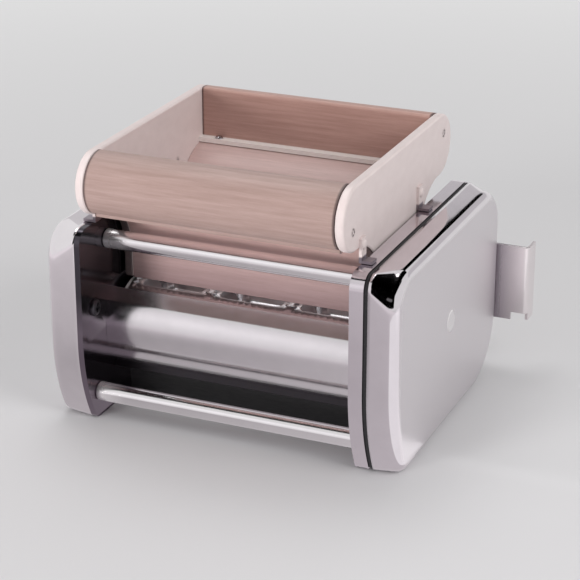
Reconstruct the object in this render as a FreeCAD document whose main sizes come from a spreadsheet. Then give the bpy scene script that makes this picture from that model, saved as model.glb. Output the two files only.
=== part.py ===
import FreeCAD, Part
import math
import os
import Sketcher
from FreeCAD import Placement, Rotation, Vector

# Ravioli maker: an attachment with two engraved drums in a sheet-metal frame and a lift-out filling
# hopper. X runs along the drums, -Y is the front, +Z is up. The origin is under the middle of the
# whole object, on the surface that it stands on. All lengths are millimetres, all angles degrees.

SIZES = {
    # frame: two side plates held apart by four tie rods
    "inner_width": 116.0,  # between the inner faces of the side plates
    "frame_front": 66.65,  # from the origin forward to the front edge of the plates
    "frame_rear": 60.35,  # from the origin back to the rear edge of the plates
    "frame_height": 86.0,
    "front_top_radius": 6.5,
    "rear_top_radius": 8.0,
    "rear_bottom_radius": 29.0,
    "front_bow_height": 38.0,  # height below which the front edge curves back
    "front_bow_radius": 80.0,
    "front_toe_radius": 4.0,
    "left_sheet": 2.5,
    "right_sheet": 2.0,
    "right_flange": 5.8,  # outward depth of the right plate's turned edge
    "rod_diameter": 8.0,
    "rod_thread": 5.0,
    "rod_nut_width": 8.0,
    "rod_nut_height": 4.0,
    "rod_end_reach": 0.5,  # of a rod's thread past its nut
    "top_rod_drop": 10.0,  # from the top of the plates
    "top_rod_spread": 35.3,  # from the nip to the top rods
    "bottom_rod_height": 11.5,
    "front_bottom_rod": 54.15,  # from the origin forward
    "rear_bottom_rod": 35.35,  # from the origin back
    # end covers
    "gasket_thickness": 1.8,
    "gasket_inset": 0.5,
    "gasket_width": 2.5,
    "gear_cover_depth": 12.7,
    "left_cover_depth": 14.15,
    "cover_wall": 1.2,
    "cover_edge_radius": 4.5,
    "face_front_top_radius": 14.0,
    "face_rear_top_radius": 18.0,
    "face_toe_radius": 9.0,
    "emblem_y": -4.65,
    "emblem_height": 46.5,
    "emblem_radius": 4.5,
    "emblem_rise": 0.6,
    "stud_diameter": 6.0,
    "front_stud_inset": 10.4,  # from the front edge of the plates
    "front_stud_drop": 36.1,  # from the top of the plates
    "rear_stud_inset": 12.8,
    "rear_stud_drop": 17.2,
    "cover_screw_diameter": 4.0,
    "cover_screw_head": 7.0,
    "cover_screw_head_height": 1.6,
    "cover_screw_reach": 6.0,
    # drums, shafts and gears
    "nip_y": -8.35,  # plane between the two drums
    "drum_drop": 50.0,  # from the top of the plates to the drums' axes
    "drum_end_gap": 2.5,  # from a drum's end to its plate
    "ridge_radius": 17.15,
    "ridge_width": 3.0,
    "land_depth": 0.75,
    "pocket_size": 28.0,  # measured round the drum
    "pocket_margin": 2.5,  # land beside a pocket, along the drum
    "pocket_depth": 5.0,
    "shaft_diameter": 8.0,
    "shaft_stub": 1.5,  # of a shaft past its clip
    "gear_module": 1.5,
    "gear_teeth": 23,
    "gear_width": 9.0,
    "tooth_backlash": 0.16,
    "bush_diameter": 12.0,
    "bush_flange": 16.0,
    "bush_flange_thickness": 1.5,
    "bush_stand_out": 1.0,
    "running_fit": 0.04,  # radial clearance of the shafts in their bushes
    "end_play": 0.4,
    "clip_diameter": 14.0,
    "clip_thickness": 1.0,
    "clip_groove_depth": 0.6,
    "clip_opening": 5.0,
    "socket_diameter": 13.0,
    "socket_bore": 9.5,
    "socket_depth": 8.0,
    "socket_slot": 2.8,
    "socket_slot_depth": 5.0,
    "socket_floor_gap": 0.3,  # from the bottom of the bore to the shaft's end
    "socket_window": 15.0,
    "socket_recess": 0.35,
    # guards and scrapers
    "guard_gap": 2.85,
    "guard_sheet": 1.2,
    "guard_top_angle": 53.0,
    "guard_bottom_angle": 55.0,
    "guard_hem": 2.4,
    "guard_tab_angle": 14.0,
    "tab_clearance": 0.1,
    "scraper_sheet": 1.0,
    "scraper_gap": 0.35,
    "scraper_angle": 90.0,
    "scraper_drop": 17.3,
    "scraper_tab": 5.0,
    # mounting brackets
    "bracket_sheet": 1.5,
    "bracket_clearance": 0.5,
    "bracket_reach": 92.0,  # from the middle to the outer face of a bracket
    "bracket_bottom": 22.5,
    "bracket_height": 34.5,
    "bracket_lip": 9.5,
    "bracket_leaf": 16.0,
    "bracket_notch_width": 6.0,
    "bracket_notch_height": 3.5,
    "rivet_diameter": 4.0,
    "rivet_head": 7.0,
    "rivet_head_height": 1.2,
    # hopper
    "hopper_reach": 62.0,  # from the nip to the foremost point of the hopper
    "hopper_rise": 32.6,  # from the top of the plates to the top of the hopper
    "hopper_side_gap": 1.0,
    "cheek_thickness": 4.0,
    "funnel_centre": 47.5,  # from the nip to the axis of the funnel wall's curve
    "funnel_axis_drop": 19.0,  # from the top of the plates
    "funnel_radius": 25.0,
    "funnel_wall": 3.0,
    "funnel_drum_gap": 1.6,  # from the top of the drums up to the funnel's lower edge
    "funnel_lip": 6.0,
    "board_shoulder": 2.0,
    "board_edge_radius": 1.5,
    "rail_width": 4.0,
    "rail_height": 2.0,
    "rail_pin_diameter": 2.0,
    "rail_pin_head": 3.6,
    "rail_pin_head_height": 1.2,
    "rail_pin_inset": 9.0,
    "cheek_screw_diameter": 2.5,
    "cheek_screw_head": 5.0,
    "cheek_screw_head_height": 1.5,
    "cheek_screw_reach": 10.0,
    "lug_sheet": 1.2,
    "lug_width": 5.0,
    "lug_height": 10.0,
    "lug_reach": 5.5,
    "lug_seat_gap": 0.2,
    "lug_front": 43.3,  # from the nip forward to the front lugs
    "lug_rear": 21.7,  # from the nip back to the rear lugs
    "lug_rivet_diameter": 2.4,
    "lug_rivet_head": 4.0,
    "lug_rivet_head_height": 0.8,
    "lug_rivet_drop": 3.0,  # from the top of a lug
}

RADIAN = math.degrees(1)
OVERCUT = 1.0  # how far a cut runs past the face that it opens

doc = FreeCAD.newDocument("RavioliMaker")
sheet = doc.addObject("Spreadsheet::Sheet", "Sizes")
for row, (alias, amount) in enumerate(SIZES.items(), start=1):
    sheet.set(f"A{row}", alias)
    sheet.set(f"B{row}", str(amount))
    sheet.setAlias(f"B{row}", alias)
doc.recompute()


class Size:
    """A length or angle that keeps its number together with its sheet formula."""

    def __init__(self, value, formula):
        self.value = float(value)
        self.formula = formula

    def __add__(self, other):
        other = as_size(other)
        return Size(self.value + other.value, f"({self.formula} + {other.formula})")

    def __sub__(self, other):
        other = as_size(other)
        return Size(self.value - other.value, f"({self.formula} - {other.formula})")

    def __mul__(self, other):
        other = as_size(other)
        return Size(self.value * other.value, f"({self.formula} * {other.formula})")

    def __truediv__(self, other):
        other = as_size(other)
        return Size(self.value / other.value, f"({self.formula} / {other.formula})")

    def __neg__(self):
        return as_size(0) - self

    __radd__ = __add__
    __rmul__ = __mul__

    def __rsub__(self, other):
        return as_size(other) - self


def as_size(number):
    """The number as a Size, if it isn't one yet."""
    return number if isinstance(number, Size) else Size(number, repr(float(number)))


def sine(angle):
    return Size(math.sin(math.radians(angle.value)), f"sin({angle.formula})")


def cosine(angle):
    return Size(math.cos(math.radians(angle.value)), f"cos({angle.formula})")


def root(square):
    return Size(math.sqrt(square.value), f"sqrt({square.formula})")


def size(alias):
    return Size(sheet.get(alias), f"Sizes.{alias}")


def bind(target, path, amount):
    """Tie one property of an object to the sheet."""
    target.setExpression(path, as_size(amount).formula)


# ---------------------------------------------------------------- sketches and features

PARTS = []


def new_body(label):
    body = doc.addObject("PartDesign::Body", label)
    body.Label = label
    PARTS.append(body)
    return body


def new_sketch(body, role, offset=0):
    """A sketch on one of the body's origin planes, moved along the plane's normal."""
    sketch = body.newObject("Sketcher::SketchObject", "sketch")
    plane = next(item for item in body.Origin.OriginFeatures if item.Role == role)
    sketch.AttachmentSupport = [(plane, "")]
    sketch.MapMode = "FlatFace"
    bind(sketch, "AttachmentOffset.Base.z", offset)
    return sketch


def arc_centre(start, end, radius):
    """Centre of the short arc from start to end; a positive radius turns left."""
    across = (end[0].value - start[0].value, end[1].value - start[1].value)
    half = math.hypot(*across) / 2
    rise = math.sqrt(max(radius.value**2 - half**2, 0)) * math.copysign(1, radius.value)
    middle = (start[0].value + across[0] / 2, start[1].value + across[1] / 2)
    return (
        middle[0] - across[1] / (2 * half) * rise,
        middle[1] + across[0] / (2 * half) * rise,
    )


def outline(sketch, corners, bows=None):
    """Close a contour through the corners. bows gives the radius of the arc that leaves a corner."""
    bows = bows or {}
    corners = [(as_size(across), as_size(up)) for across, up in corners]
    ends = []
    for index, start in enumerate(corners):
        end = corners[(index + 1) % len(corners)]
        if index not in bows:
            line = Part.LineSegment(
                Vector(start[0].value, start[1].value, 0), Vector(end[0].value, end[1].value, 0)
            )
            ends.append((sketch.addGeometry(line, False), 1, 2))
            continue
        radius = bows[index]
        centre = arc_centre(start, end, radius)
        circle = Part.Circle(Vector(*centre, 0), Vector(0, 0, 1), abs(radius.value))
        turn = [
            math.atan2(point[1].value - centre[1], point[0].value - centre[0])
            for point in (start, end)
        ]
        if radius.value < 0:
            turn.reverse()
        if turn[1] < turn[0]:
            turn[1] += 2 * math.pi
        edge = sketch.addGeometry(Part.ArcOfCircle(circle, *turn), False)
        ends.append((edge, 1, 2) if radius.value > 0 else (edge, 2, 1))
        number = sketch.addConstraint(Sketcher.Constraint("Radius", edge, abs(radius.value)))
        bind(sketch, f"Constraints[{number}]", radius if radius.value > 0 else -radius)
    for index, (edge, first, last) in enumerate(ends):
        following = ends[(index + 1) % len(ends)]
        sketch.addConstraint(
            Sketcher.Constraint("Coincident", edge, last, following[0], following[1])
        )
        place(sketch, edge, first, corners[index])


def place(sketch, edge, point, at):
    """Bind one sketch point to its two distances from the sketch's origin."""
    for kind, distance in (("DistanceX", at[0]), ("DistanceY", at[1])):
        distance = as_size(distance)
        rule = Sketcher.Constraint(kind, -1, 1, edge, point, distance.value)
        number = sketch.addConstraint(rule)
        bind(sketch, f"Constraints[{number}]", distance)


def circle(sketch, at, radius):
    at = (as_size(at[0]), as_size(at[1]))
    centre = Vector(at[0].value, at[1].value, 0)
    edge = sketch.addGeometry(Part.Circle(centre, Vector(0, 0, 1), radius.value), False)
    number = sketch.addConstraint(Sketcher.Constraint("Radius", edge, radius.value))
    bind(sketch, f"Constraints[{number}]", radius)
    place(sketch, edge, 3, at)


def pad(body, sketch, length):
    feature = body.newObject("PartDesign::Pad", "pad")
    feature.Profile = sketch
    bind(feature, "Length", length)
    sketch.Visibility = False
    return feature


def pocket(body, sketch, length):
    """Cut from the sketch plane along its normal."""
    feature = body.newObject("PartDesign::Pocket", "pocket")
    feature.Profile = sketch
    feature.Reversed = True
    bind(feature, "Length", length)
    return feature


def revolve(body, sketch, kind="PartDesign::Revolution", angle=None):
    """Turn a sketch about its horizontal axis, all the way or evenly about its own plane."""
    feature = body.newObject(kind, "turn")
    feature.Profile = sketch
    feature.ReferenceAxis = (sketch, ["H_Axis"])
    if angle is None:
        feature.Angle = 360
    else:
        feature.Midplane = True
        bind(feature, "Angle", angle)
    return feature


def round_edges(body, radius, chosen):
    """Fillet the edges of the body's tip that the test picks."""
    doc.recompute()
    base = body.Tip
    names = [f"Edge{n}" for n, edge in enumerate(base.Shape.Edges, start=1) if chosen(edge)]
    feature = body.newObject("PartDesign::Fillet", "round")
    feature.Base = (base, names)
    bind(feature, "Radius", radius)
    return feature


def side_pad(label, start, length, corners, bows=None):
    """A body cut from plate: an outline in the YZ plane, thickened along X."""
    body = new_body(label)
    sketch = new_sketch(body, "YZ_Plane", start)
    outline(sketch, corners, bows)
    pad(body, sketch, length)
    return body


def move(body, across=0, depth=0, height=0):
    for axis, distance in (("x", across), ("y", depth), ("z", height)):
        bind(body, f"Placement.Base.{axis}", distance)


def turned(label, steps, bore=0, depth=0, height=0):
    """A lathe-turned body about its own X axis. steps lists (start, end, radius) along X."""
    body = new_body(label)
    sketch = new_sketch(body, "XZ_Plane")
    corners = [(steps[0][0], bore)]
    for start, end, radius in steps:
        corners += [(start, radius), (end, radius)]
    corners.append((steps[-1][1], bore))
    outline(sketch, corners)
    revolve(body, sketch)
    move(body, depth=depth, height=height)
    return body


def group(label, solids):
    """One node that holds several separate solids, all cut from the same few sizes."""
    node = doc.addObject("Part::Compound", label)
    node.Label = label
    node.Links = solids
    PARTS.append(node)
    return node


def rod_solid(start, end, radius, depth, height):
    """A plain cylinder along X."""
    cylinder = doc.addObject("Part::Cylinder", "rod")
    cylinder.Placement = Placement(Vector(0, 0, 0), Rotation(Vector(0, 1, 0), 90))
    bind(cylinder, "Radius", radius)
    bind(cylinder, "Height", end - start)
    move(cylinder, start, depth, height)
    return cylinder


def fused(shapes):
    join = doc.addObject("Part::MultiFuse", "join")
    join.Shapes = shapes
    join.Refine = True
    return join


def span_rod(first, second, radius, at):
    """A plain cylinder between two X values given in either order, at a (Y, Z)."""
    start, end = sorted((first, second), key=lambda place_x: place_x.value)
    return rod_solid(start, end, radius, *at)


def headed_pin(head, shank, at):
    """A screw, rivet or pin along X: a round head and a plain shank, each (start, end, radius)."""
    return fused([span_rod(*head, at), span_rod(*shank, at)])


# ---------------------------------------------------------------- shared places

half_width = size("inner_width") / 2
nip = size("nip_y")
left_outside = -half_width - size("left_sheet")
right_web = half_width + size("right_sheet")
right_rim = half_width + size("right_flange")
gear_cover_rim = right_rim + size("gasket_thickness")
gear_cover_face = gear_cover_rim + size("gear_cover_depth")
gear_cover_inside = gear_cover_face - size("cover_wall")
left_cover_face = left_outside - size("left_cover_depth")
left_cover_inside = left_cover_face + size("cover_wall")

drum_spacing = size("gear_module") * size("gear_teeth")
front_axis = nip - drum_spacing / 2
rear_axis = nip + drum_spacing / 2
plate_top = size("frame_height")
axis_height = plate_top - size("drum_drop")
top_rods = plate_top - size("top_rod_drop")
bottom_rods = size("bottom_rod_height")

RODS = {
    "front_top_rod": (nip - size("top_rod_spread"), top_rods),
    "front_bottom_rod": (-size("front_bottom_rod"), bottom_rods),
    "rear_top_rod": (nip + size("top_rod_spread"), top_rods),
    "rear_bottom_rod": (size("rear_bottom_rod"), bottom_rods),
}
STUDS = [
    (size("front_stud_inset") - size("frame_front"), plate_top - size("front_stud_drop")),
    (size("frame_rear") - size("rear_stud_inset"), plate_top - size("rear_stud_drop")),
    (nip, bottom_rods),
]

RIM_CORNERS = ("front_top_radius", "rear_top_radius", "front_toe_radius")
FACE_CORNERS = ("face_front_top_radius", "face_rear_top_radius", "face_toe_radius")


def side_outline(inset=0, corner_sizes=RIM_CORNERS):
    """Corners and arcs of the frame's side profile, drawn in by a distance."""
    front = -size("frame_front")
    rear = size("frame_rear")
    top = plate_top
    bow = size("front_bow_radius")
    bow_height = size("front_bow_height")
    low = size("rear_bottom_radius")
    fore, back, toe = (size(name) for name in corner_sizes)
    # the toe's arc touches the flat bottom and the bowed front edge
    down = bow_height - toe
    toe_y = front + bow - root((bow - toe) * (bow - toe) - down * down)
    lean = (bow - inset) / (bow - toe)
    corners = [
        (toe_y, inset),
        (rear - low, inset),
        (rear - inset, low),
        (rear - inset, top - back),
        (rear - back, top - inset),
        (front + fore, top - inset),
        (front + inset, top - fore),
        (front + inset, bow_height),
        (front + bow - (front + bow - toe_y) * lean, bow_height - down * lean),
    ]
    bows = {1: low - inset, 3: back - inset, 5: fore - inset, 7: bow - inset, 8: toe - inset}
    return corners, bows


def mirrored(corners, bows):
    """The same contour on the other side of the nip plane."""
    flipped = [(2 * nip - across, up) for across, up in corners]
    return flipped, {index: -radius for index, radius in bows.items()}


def around(axis, radius, angle):
    """A point at a radius and an angle about a drum's axis; 0 is forward, positive is up."""
    return (axis - radius * cosine(angle), axis_height + radius * sine(angle))


def guard_outline(grow=0, low=None, high=None, hem=0):
    """A sheet curved about the front drum between two angles."""
    inner = size("ridge_radius") + size("guard_gap") - grow
    outer = inner + size("guard_sheet") + 2 * grow
    low = -size("guard_bottom_angle") if low is None else low
    high = size("guard_top_angle") if high is None else high
    if not hem:
        corners = [
            around(front_axis, outer, high),
            around(front_axis, outer, low),
            around(front_axis, inner, low),
            around(front_axis, inner, high),
        ]
        return corners, {0: outer, 2: -inner}
    turn_up = low + RADIAN * size("guard_sheet") / outer
    corners = [
        around(front_axis, outer, high),
        around(front_axis, outer, turn_up),
        around(front_axis, outer + hem, turn_up),
        around(front_axis, outer + hem, low),
        around(front_axis, inner, low),
        around(front_axis, inner, high),
    ]
    return corners, {0: outer, 4: -inner}


def scraper_outline(grow=0, height=None):
    """A deep strip that stands just clear of the front drum's underside."""
    reach = size("ridge_radius") + size("scraper_gap")
    edge = front_axis + reach * cosine(size("scraper_angle"))
    top = axis_height - reach * sine(size("scraper_angle"))
    middle = top - size("scraper_drop") / 2
    half = (size("scraper_drop") if height is None else height) / 2 + grow
    return [
        (edge - size("scraper_sheet") - grow, middle - half),
        (edge + grow, middle - half),
        (edge + grow, middle + half),
        (edge - size("scraper_sheet") - grow, middle + half),
    ], {}


# ---------------------------------------------------------------- side plates

clearance = size("tab_clearance")
tab_half = size("guard_tab_angle") / 2
tab_slack = RADIAN * clearance / (size("ridge_radius") + size("guard_gap"))
guard_slot = guard_outline(clearance, -tab_half - tab_slack, tab_half + tab_slack)
scraper_slot = scraper_outline(clearance, size("scraper_tab"))
guard_tab = guard_outline(0, -tab_half, tab_half)
scraper_tab = scraper_outline(0, size("scraper_tab"))


def leaf_rivets():
    """Places of a bracket's rivets in the side plate, at the quarters of its height."""
    depth = size("frame_rear") - size("bracket_leaf") / 2
    foot = size("bracket_bottom")
    rise = size("bracket_height")
    return [(depth, foot + rise / 4), (depth, foot + rise * 3 / 4)]


def pierce_plate(body, start, thickness):
    """Every hole and tab slot of a side plate."""
    holes = new_sketch(body, "YZ_Plane", start)
    for at in RODS.values():
        circle(holes, at, size("rod_thread") / 2)
    for axis in (front_axis, rear_axis):
        circle(holes, (axis, axis_height), size("bush_diameter") / 2)
    for at in STUDS:
        circle(holes, at, size("cover_screw_diameter") / 2)
    for at in leaf_rivets():
        circle(holes, at, size("rivet_diameter") / 2)
    for slot in (guard_slot, mirrored(*guard_slot), scraper_slot, mirrored(*scraper_slot)):
        outline(holes, *slot)
    pocket(body, holes, thickness)


left_plate = side_pad("left_side_plate", left_outside, size("left_sheet"), *side_outline())
pierce_plate(left_plate, left_outside, size("left_sheet"))

right_plate = side_pad("right_side_plate", half_width, size("right_flange"), *side_outline())
tray = new_sketch(right_plate, "YZ_Plane", right_web)
outline(tray, *side_outline(size("right_sheet")))
pocket(right_plate, tray, size("right_flange") - size("right_sheet"))
pierce_plate(right_plate, half_width, size("right_sheet"))

# ---------------------------------------------------------------- gasket and end covers

gasket = side_pad(
    "cover_gasket", right_rim, size("gasket_thickness"), *side_outline(size("gasket_inset"))
)
gasket_hole = new_sketch(gasket, "YZ_Plane", right_rim)
outline(gasket_hole, *side_outline(size("gasket_inset") + size("gasket_width")))
pocket(gasket, gasket_hole, size("gasket_thickness"))


EDGE_STEPS = 4  # flats that make up a cover's rounded edge
QUARTER_TURN = 90


def cover_form(rim, face, wall):
    """A drawn cover's form, wall deep inside its skin: corners open out towards a rounded face."""
    outward = 1 if face.value > rim.value else -1
    edge = size("cover_edge_radius")
    sweep = edge - wall
    levels = [(rim, as_size(wall), RIM_CORNERS)]
    for step in range(EDGE_STEPS + 1):
        angle = as_size(QUARTER_TURN * step / EDGE_STEPS)
        depth = face - (edge - sweep * sine(angle)) * outward
        levels.append((depth, wall + sweep * (1 - cosine(angle)), FACE_CORNERS))
    body = doc.addObject("PartDesign::Body", "cover_form")
    sketches = []
    for depth, inset, corner_sizes in levels:
        sketch = new_sketch(body, "YZ_Plane", depth)
        outline(sketch, *side_outline(inset, corner_sizes))
        sketches.append(sketch)
    loft = body.newObject("PartDesign::AdditiveLoft", "draw")
    loft.Profile = sketches[0]
    loft.Sections = sketches[1:]
    loft.Ruled = True
    return body


def cover(label, rim, face):
    """A deep-drawn cover: the outer form less the same form drawn in by the wall."""
    shell = doc.addObject("Part::Cut", label)
    shell.Base = cover_form(rim, face, as_size(0))
    shell.Tool = cover_form(rim, face, size("cover_wall"))
    return shell


gear_shell = cover("gear_cover_shell", gear_cover_rim, gear_cover_face)
emblem = rod_solid(
    gear_cover_face - size("cover_wall") / 2,
    gear_cover_face + size("emblem_rise"),
    size("emblem_radius"),
    size("emblem_y"),
    size("emblem_height"),
)
gear_cover = fused([gear_shell, emblem])
gear_cover.Label = "gear_cover"
PARTS.append(gear_cover)

left_shell = cover("left_cover_shell", left_outside, left_cover_face)
socket_window = rod_solid(
    left_cover_face - size("cover_wall"),
    left_cover_inside + size("cover_wall"),
    size("socket_window") / 2,
    front_axis,
    axis_height,
)
left_cover = doc.addObject("Part::Cut", "left_cover")
left_cover.Label = "left_cover"
left_cover.Base = left_shell
left_cover.Tool = socket_window
PARTS.append(left_cover)

# ---------------------------------------------------------------- tie rods and nuts

for label, (depth, height) in RODS.items():
    thread = size("rod_thread") / 2
    barrel = size("rod_diameter") / 2
    nut_room = size("rod_nut_height") + size("rod_end_reach")
    steps = [
        (left_outside - nut_room, -half_width, thread),
        (-half_width, half_width, barrel),
        (half_width, right_web + nut_room, thread),
    ]
    turned(label, steps, depth=depth, height=height)


HEX_SIDES = 6
hex_half_side = as_size(180 / HEX_SIDES)


def nut(start, depth, height):
    """A hexagon nut along X."""
    prism = doc.addObject("Part::Prism", "hexagon")
    prism.Polygon = HEX_SIDES
    prism.Placement = Placement(Vector(0, 0, 0), Rotation(Vector(0, 1, 0), 90))
    bind(prism, "Circumradius", size("rod_nut_width") / cosine(hex_half_side) / 2)
    bind(prism, "Height", size("rod_nut_height"))
    move(prism, start, depth, height)
    hole = rod_solid(start, start + size("rod_nut_height"), size("rod_thread") / 2, depth, height)
    cut = doc.addObject("Part::Cut", "nut")
    cut.Base = prism
    cut.Tool = hole
    return cut


group(
    "rod_nuts",
    [nut(left_outside - size("rod_nut_height"), *at) for at in RODS.values()]
    + [nut(right_web, *at) for at in RODS.values()],
)

# ---------------------------------------------------------------- cover studs and screws


def stud(foot, tip, at):
    """A round pillar on the inside of a cover, tapped from its open end at the plate."""
    sense = 1 if tip.value > foot.value else -1
    post = span_rod(foot, tip, size("stud_diameter") / 2, at)
    depth = size("cover_screw_reach") * sense
    hole = span_rod(foot, foot + depth, size("cover_screw_diameter") / 2, at)
    cut = doc.addObject("Part::Cut", "stud")
    cut.Base = post
    cut.Tool = hole
    return cut


group("gear_cover_studs", [stud(right_web, gear_cover_inside, at) for at in STUDS])
group("left_cover_studs", [stud(left_outside, left_cover_inside, at) for at in STUDS])

screws = []
head_radius = size("cover_screw_head") / 2
shank_radius = size("cover_screw_diameter") / 2
for at in STUDS:
    for sense, outside in ((1, right_web), (-1, left_outside)):
        plate_face = half_width * sense
        head_top = plate_face - size("cover_screw_head_height") * sense
        tip = outside + size("cover_screw_reach") * sense
        head = (head_top, plate_face, head_radius)
        shank = (plate_face, tip, shank_radius)
        screws.append(headed_pin(head, shank, at))
group("cover_screws", screws)

# ---------------------------------------------------------------- bushes

flange = size("bush_flange_thickness")
for end, axis in (("front", front_axis), ("rear", rear_axis)):
    barrel = size("bush_diameter") / 2
    collar = size("bush_flange") / 2
    bore = size("shaft_diameter") / 2 + size("running_fit")
    left_tip = left_outside - size("bush_stand_out")
    right_tip = right_web + size("bush_stand_out")
    turned(
        f"{end}_left_bush",
        [(left_tip, -half_width, barrel), (-half_width, flange - half_width, collar)],
        bore,
        axis,
        axis_height,
    )
    turned(
        f"{end}_right_bush",
        [(half_width - flange, half_width, collar), (half_width, right_tip, barrel)],
        bore,
        axis,
        axis_height,
    )

# ---------------------------------------------------------------- drums


CELLS_ROUND = 3  # pockets round a drum
CELLS_ALONG = 3


def engraved_drum(label, axis, first_turn):
    """A drum with a grid of square pockets between raised ridges."""
    ridge = size("ridge_radius")
    land = ridge - size("land_depth")
    floor = land - size("pocket_depth")
    half_length = half_width - size("drum_end_gap")
    bore = size("shaft_diameter") / 2
    body = turned(label, [(-half_length, half_length, ridge)], bore, axis, axis_height)
    pitch = (half_length * 2 - size("ridge_width")) / CELLS_ALONG
    cell = pitch - size("ridge_width")
    cell_angle = 360 / CELLS_ROUND - RADIAN * size("ridge_width") / ridge
    pocket_width = cell - size("pocket_margin") * 2
    pocket_angle = RADIAN * size("pocket_size") / land
    cuts = []
    for cell_number in range(CELLS_ALONG):
        middle = pitch * (cell_number - (CELLS_ALONG - 1) / 2)
        for across, bottom, angle in (
            (cell, land, cell_angle),
            (pocket_width, floor, pocket_angle),
        ):
            sketch = new_sketch(body, "XZ_Plane")
            corners = [
                (middle - across / 2, bottom),
                (middle + across / 2, bottom),
                (middle + across / 2, ridge + OVERCUT),
                (middle - across / 2, ridge + OVERCUT),
            ]
            outline(sketch, corners)
            cuts.append(revolve(body, sketch, "PartDesign::Groove", angle))
    pattern = body.newObject("PartDesign::PolarPattern", "round_the_drum")
    pattern.Originals = cuts
    pattern.Axis = (cuts[0].Profile[0], ["H_Axis"])
    pattern.Angle = 360
    pattern.Occurrences = CELLS_ROUND
    body.Tip = pattern
    body.Placement.Rotation = Rotation(Vector(1, 0, 0), first_turn)
    return body


HALF_CELL_TURN = 30  # brings a ridge of each drum to the nip
engraved_drum("front_drum_roller", front_axis, -HALF_CELL_TURN)
engraved_drum("rear_drum_roller", rear_axis, HALF_CELL_TURN)

# ---------------------------------------------------------------- shafts, clips and socket

shaft = size("shaft_diameter") / 2
groove = shaft - size("clip_groove_depth")
clip = size("clip_thickness")
gear_start = right_web + size("bush_stand_out") + size("end_play")
gear_end = gear_start + size("gear_width")
shaft_right = gear_end + clip + size("shaft_stub")
socket_tip = left_cover_face + size("socket_recess")
socket_start = left_outside - size("bush_stand_out") - size("end_play")
drive_left = socket_tip + size("socket_depth") + size("socket_floor_gap")
clip_left = socket_start - clip

right_groove = [(gear_end, gear_end + clip, groove), (gear_end + clip, shaft_right, shaft)]
left_groove = [
    (clip_left - size("shaft_stub"), clip_left, shaft),
    (clip_left, clip_left + clip, groove),
    (clip_left + clip, gear_end, shaft),
]
drive_steps = [(drive_left, gear_end, shaft)] + right_groove
turned("drive_shaft", drive_steps, depth=front_axis, height=axis_height)
turned("rear_shaft", left_groove + right_groove, depth=rear_axis, height=axis_height)


def clip_solid(start, axis):
    """An open retaining ring that snaps into a shaft groove."""
    ring = rod_solid(start, start + clip, size("clip_diameter") / 2, axis, axis_height)
    eye = rod_solid(start, start + clip, groove, axis, axis_height)
    gap = doc.addObject("Part::Box", "gap")
    bind(gap, "Length", clip)
    bind(gap, "Width", size("clip_opening"))
    bind(gap, "Height", size("clip_diameter"))
    move(gap, start, axis - size("clip_opening") / 2, axis_height)
    cut = doc.addObject("Part::Cut", "clip")
    cut.Base = ring
    cut.Tool = fused([eye, gap])
    return cut


group("drive_shaft_clip", [clip_solid(gear_end, front_axis)])
group("rear_shaft_clips", [clip_solid(gear_end, rear_axis), clip_solid(clip_left, rear_axis)])

socket_body = new_body("crank_socket")
sleeve = new_sketch(socket_body, "YZ_Plane", socket_tip)
circle(sleeve, (0, 0), size("socket_diameter") / 2)
circle(sleeve, (0, 0), shaft)
pad(socket_body, sleeve, socket_start - socket_tip)
mouth = new_sketch(socket_body, "YZ_Plane", socket_tip)
circle(mouth, (0, 0), size("socket_bore") / 2)
pocket(socket_body, mouth, size("socket_depth"))
slot = new_sketch(socket_body, "YZ_Plane", socket_tip)
half_slot = size("socket_slot") / 2
across_socket = size("socket_diameter") / 2 + OVERCUT
outline(
    slot,
    [
        (-half_slot, -across_socket),
        (half_slot, -across_socket),
        (half_slot, across_socket),
        (-half_slot, across_socket),
    ],
)
pocket(socket_body, slot, size("socket_slot_depth"))
move(socket_body, 0, front_axis, axis_height)

# ---------------------------------------------------------------- gears


PRESSURE_ANGLE = 20
DEDENDUM = 1.25  # of the module
HALF_TOOTH = 180 / SIZES["gear_teeth"]


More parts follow.
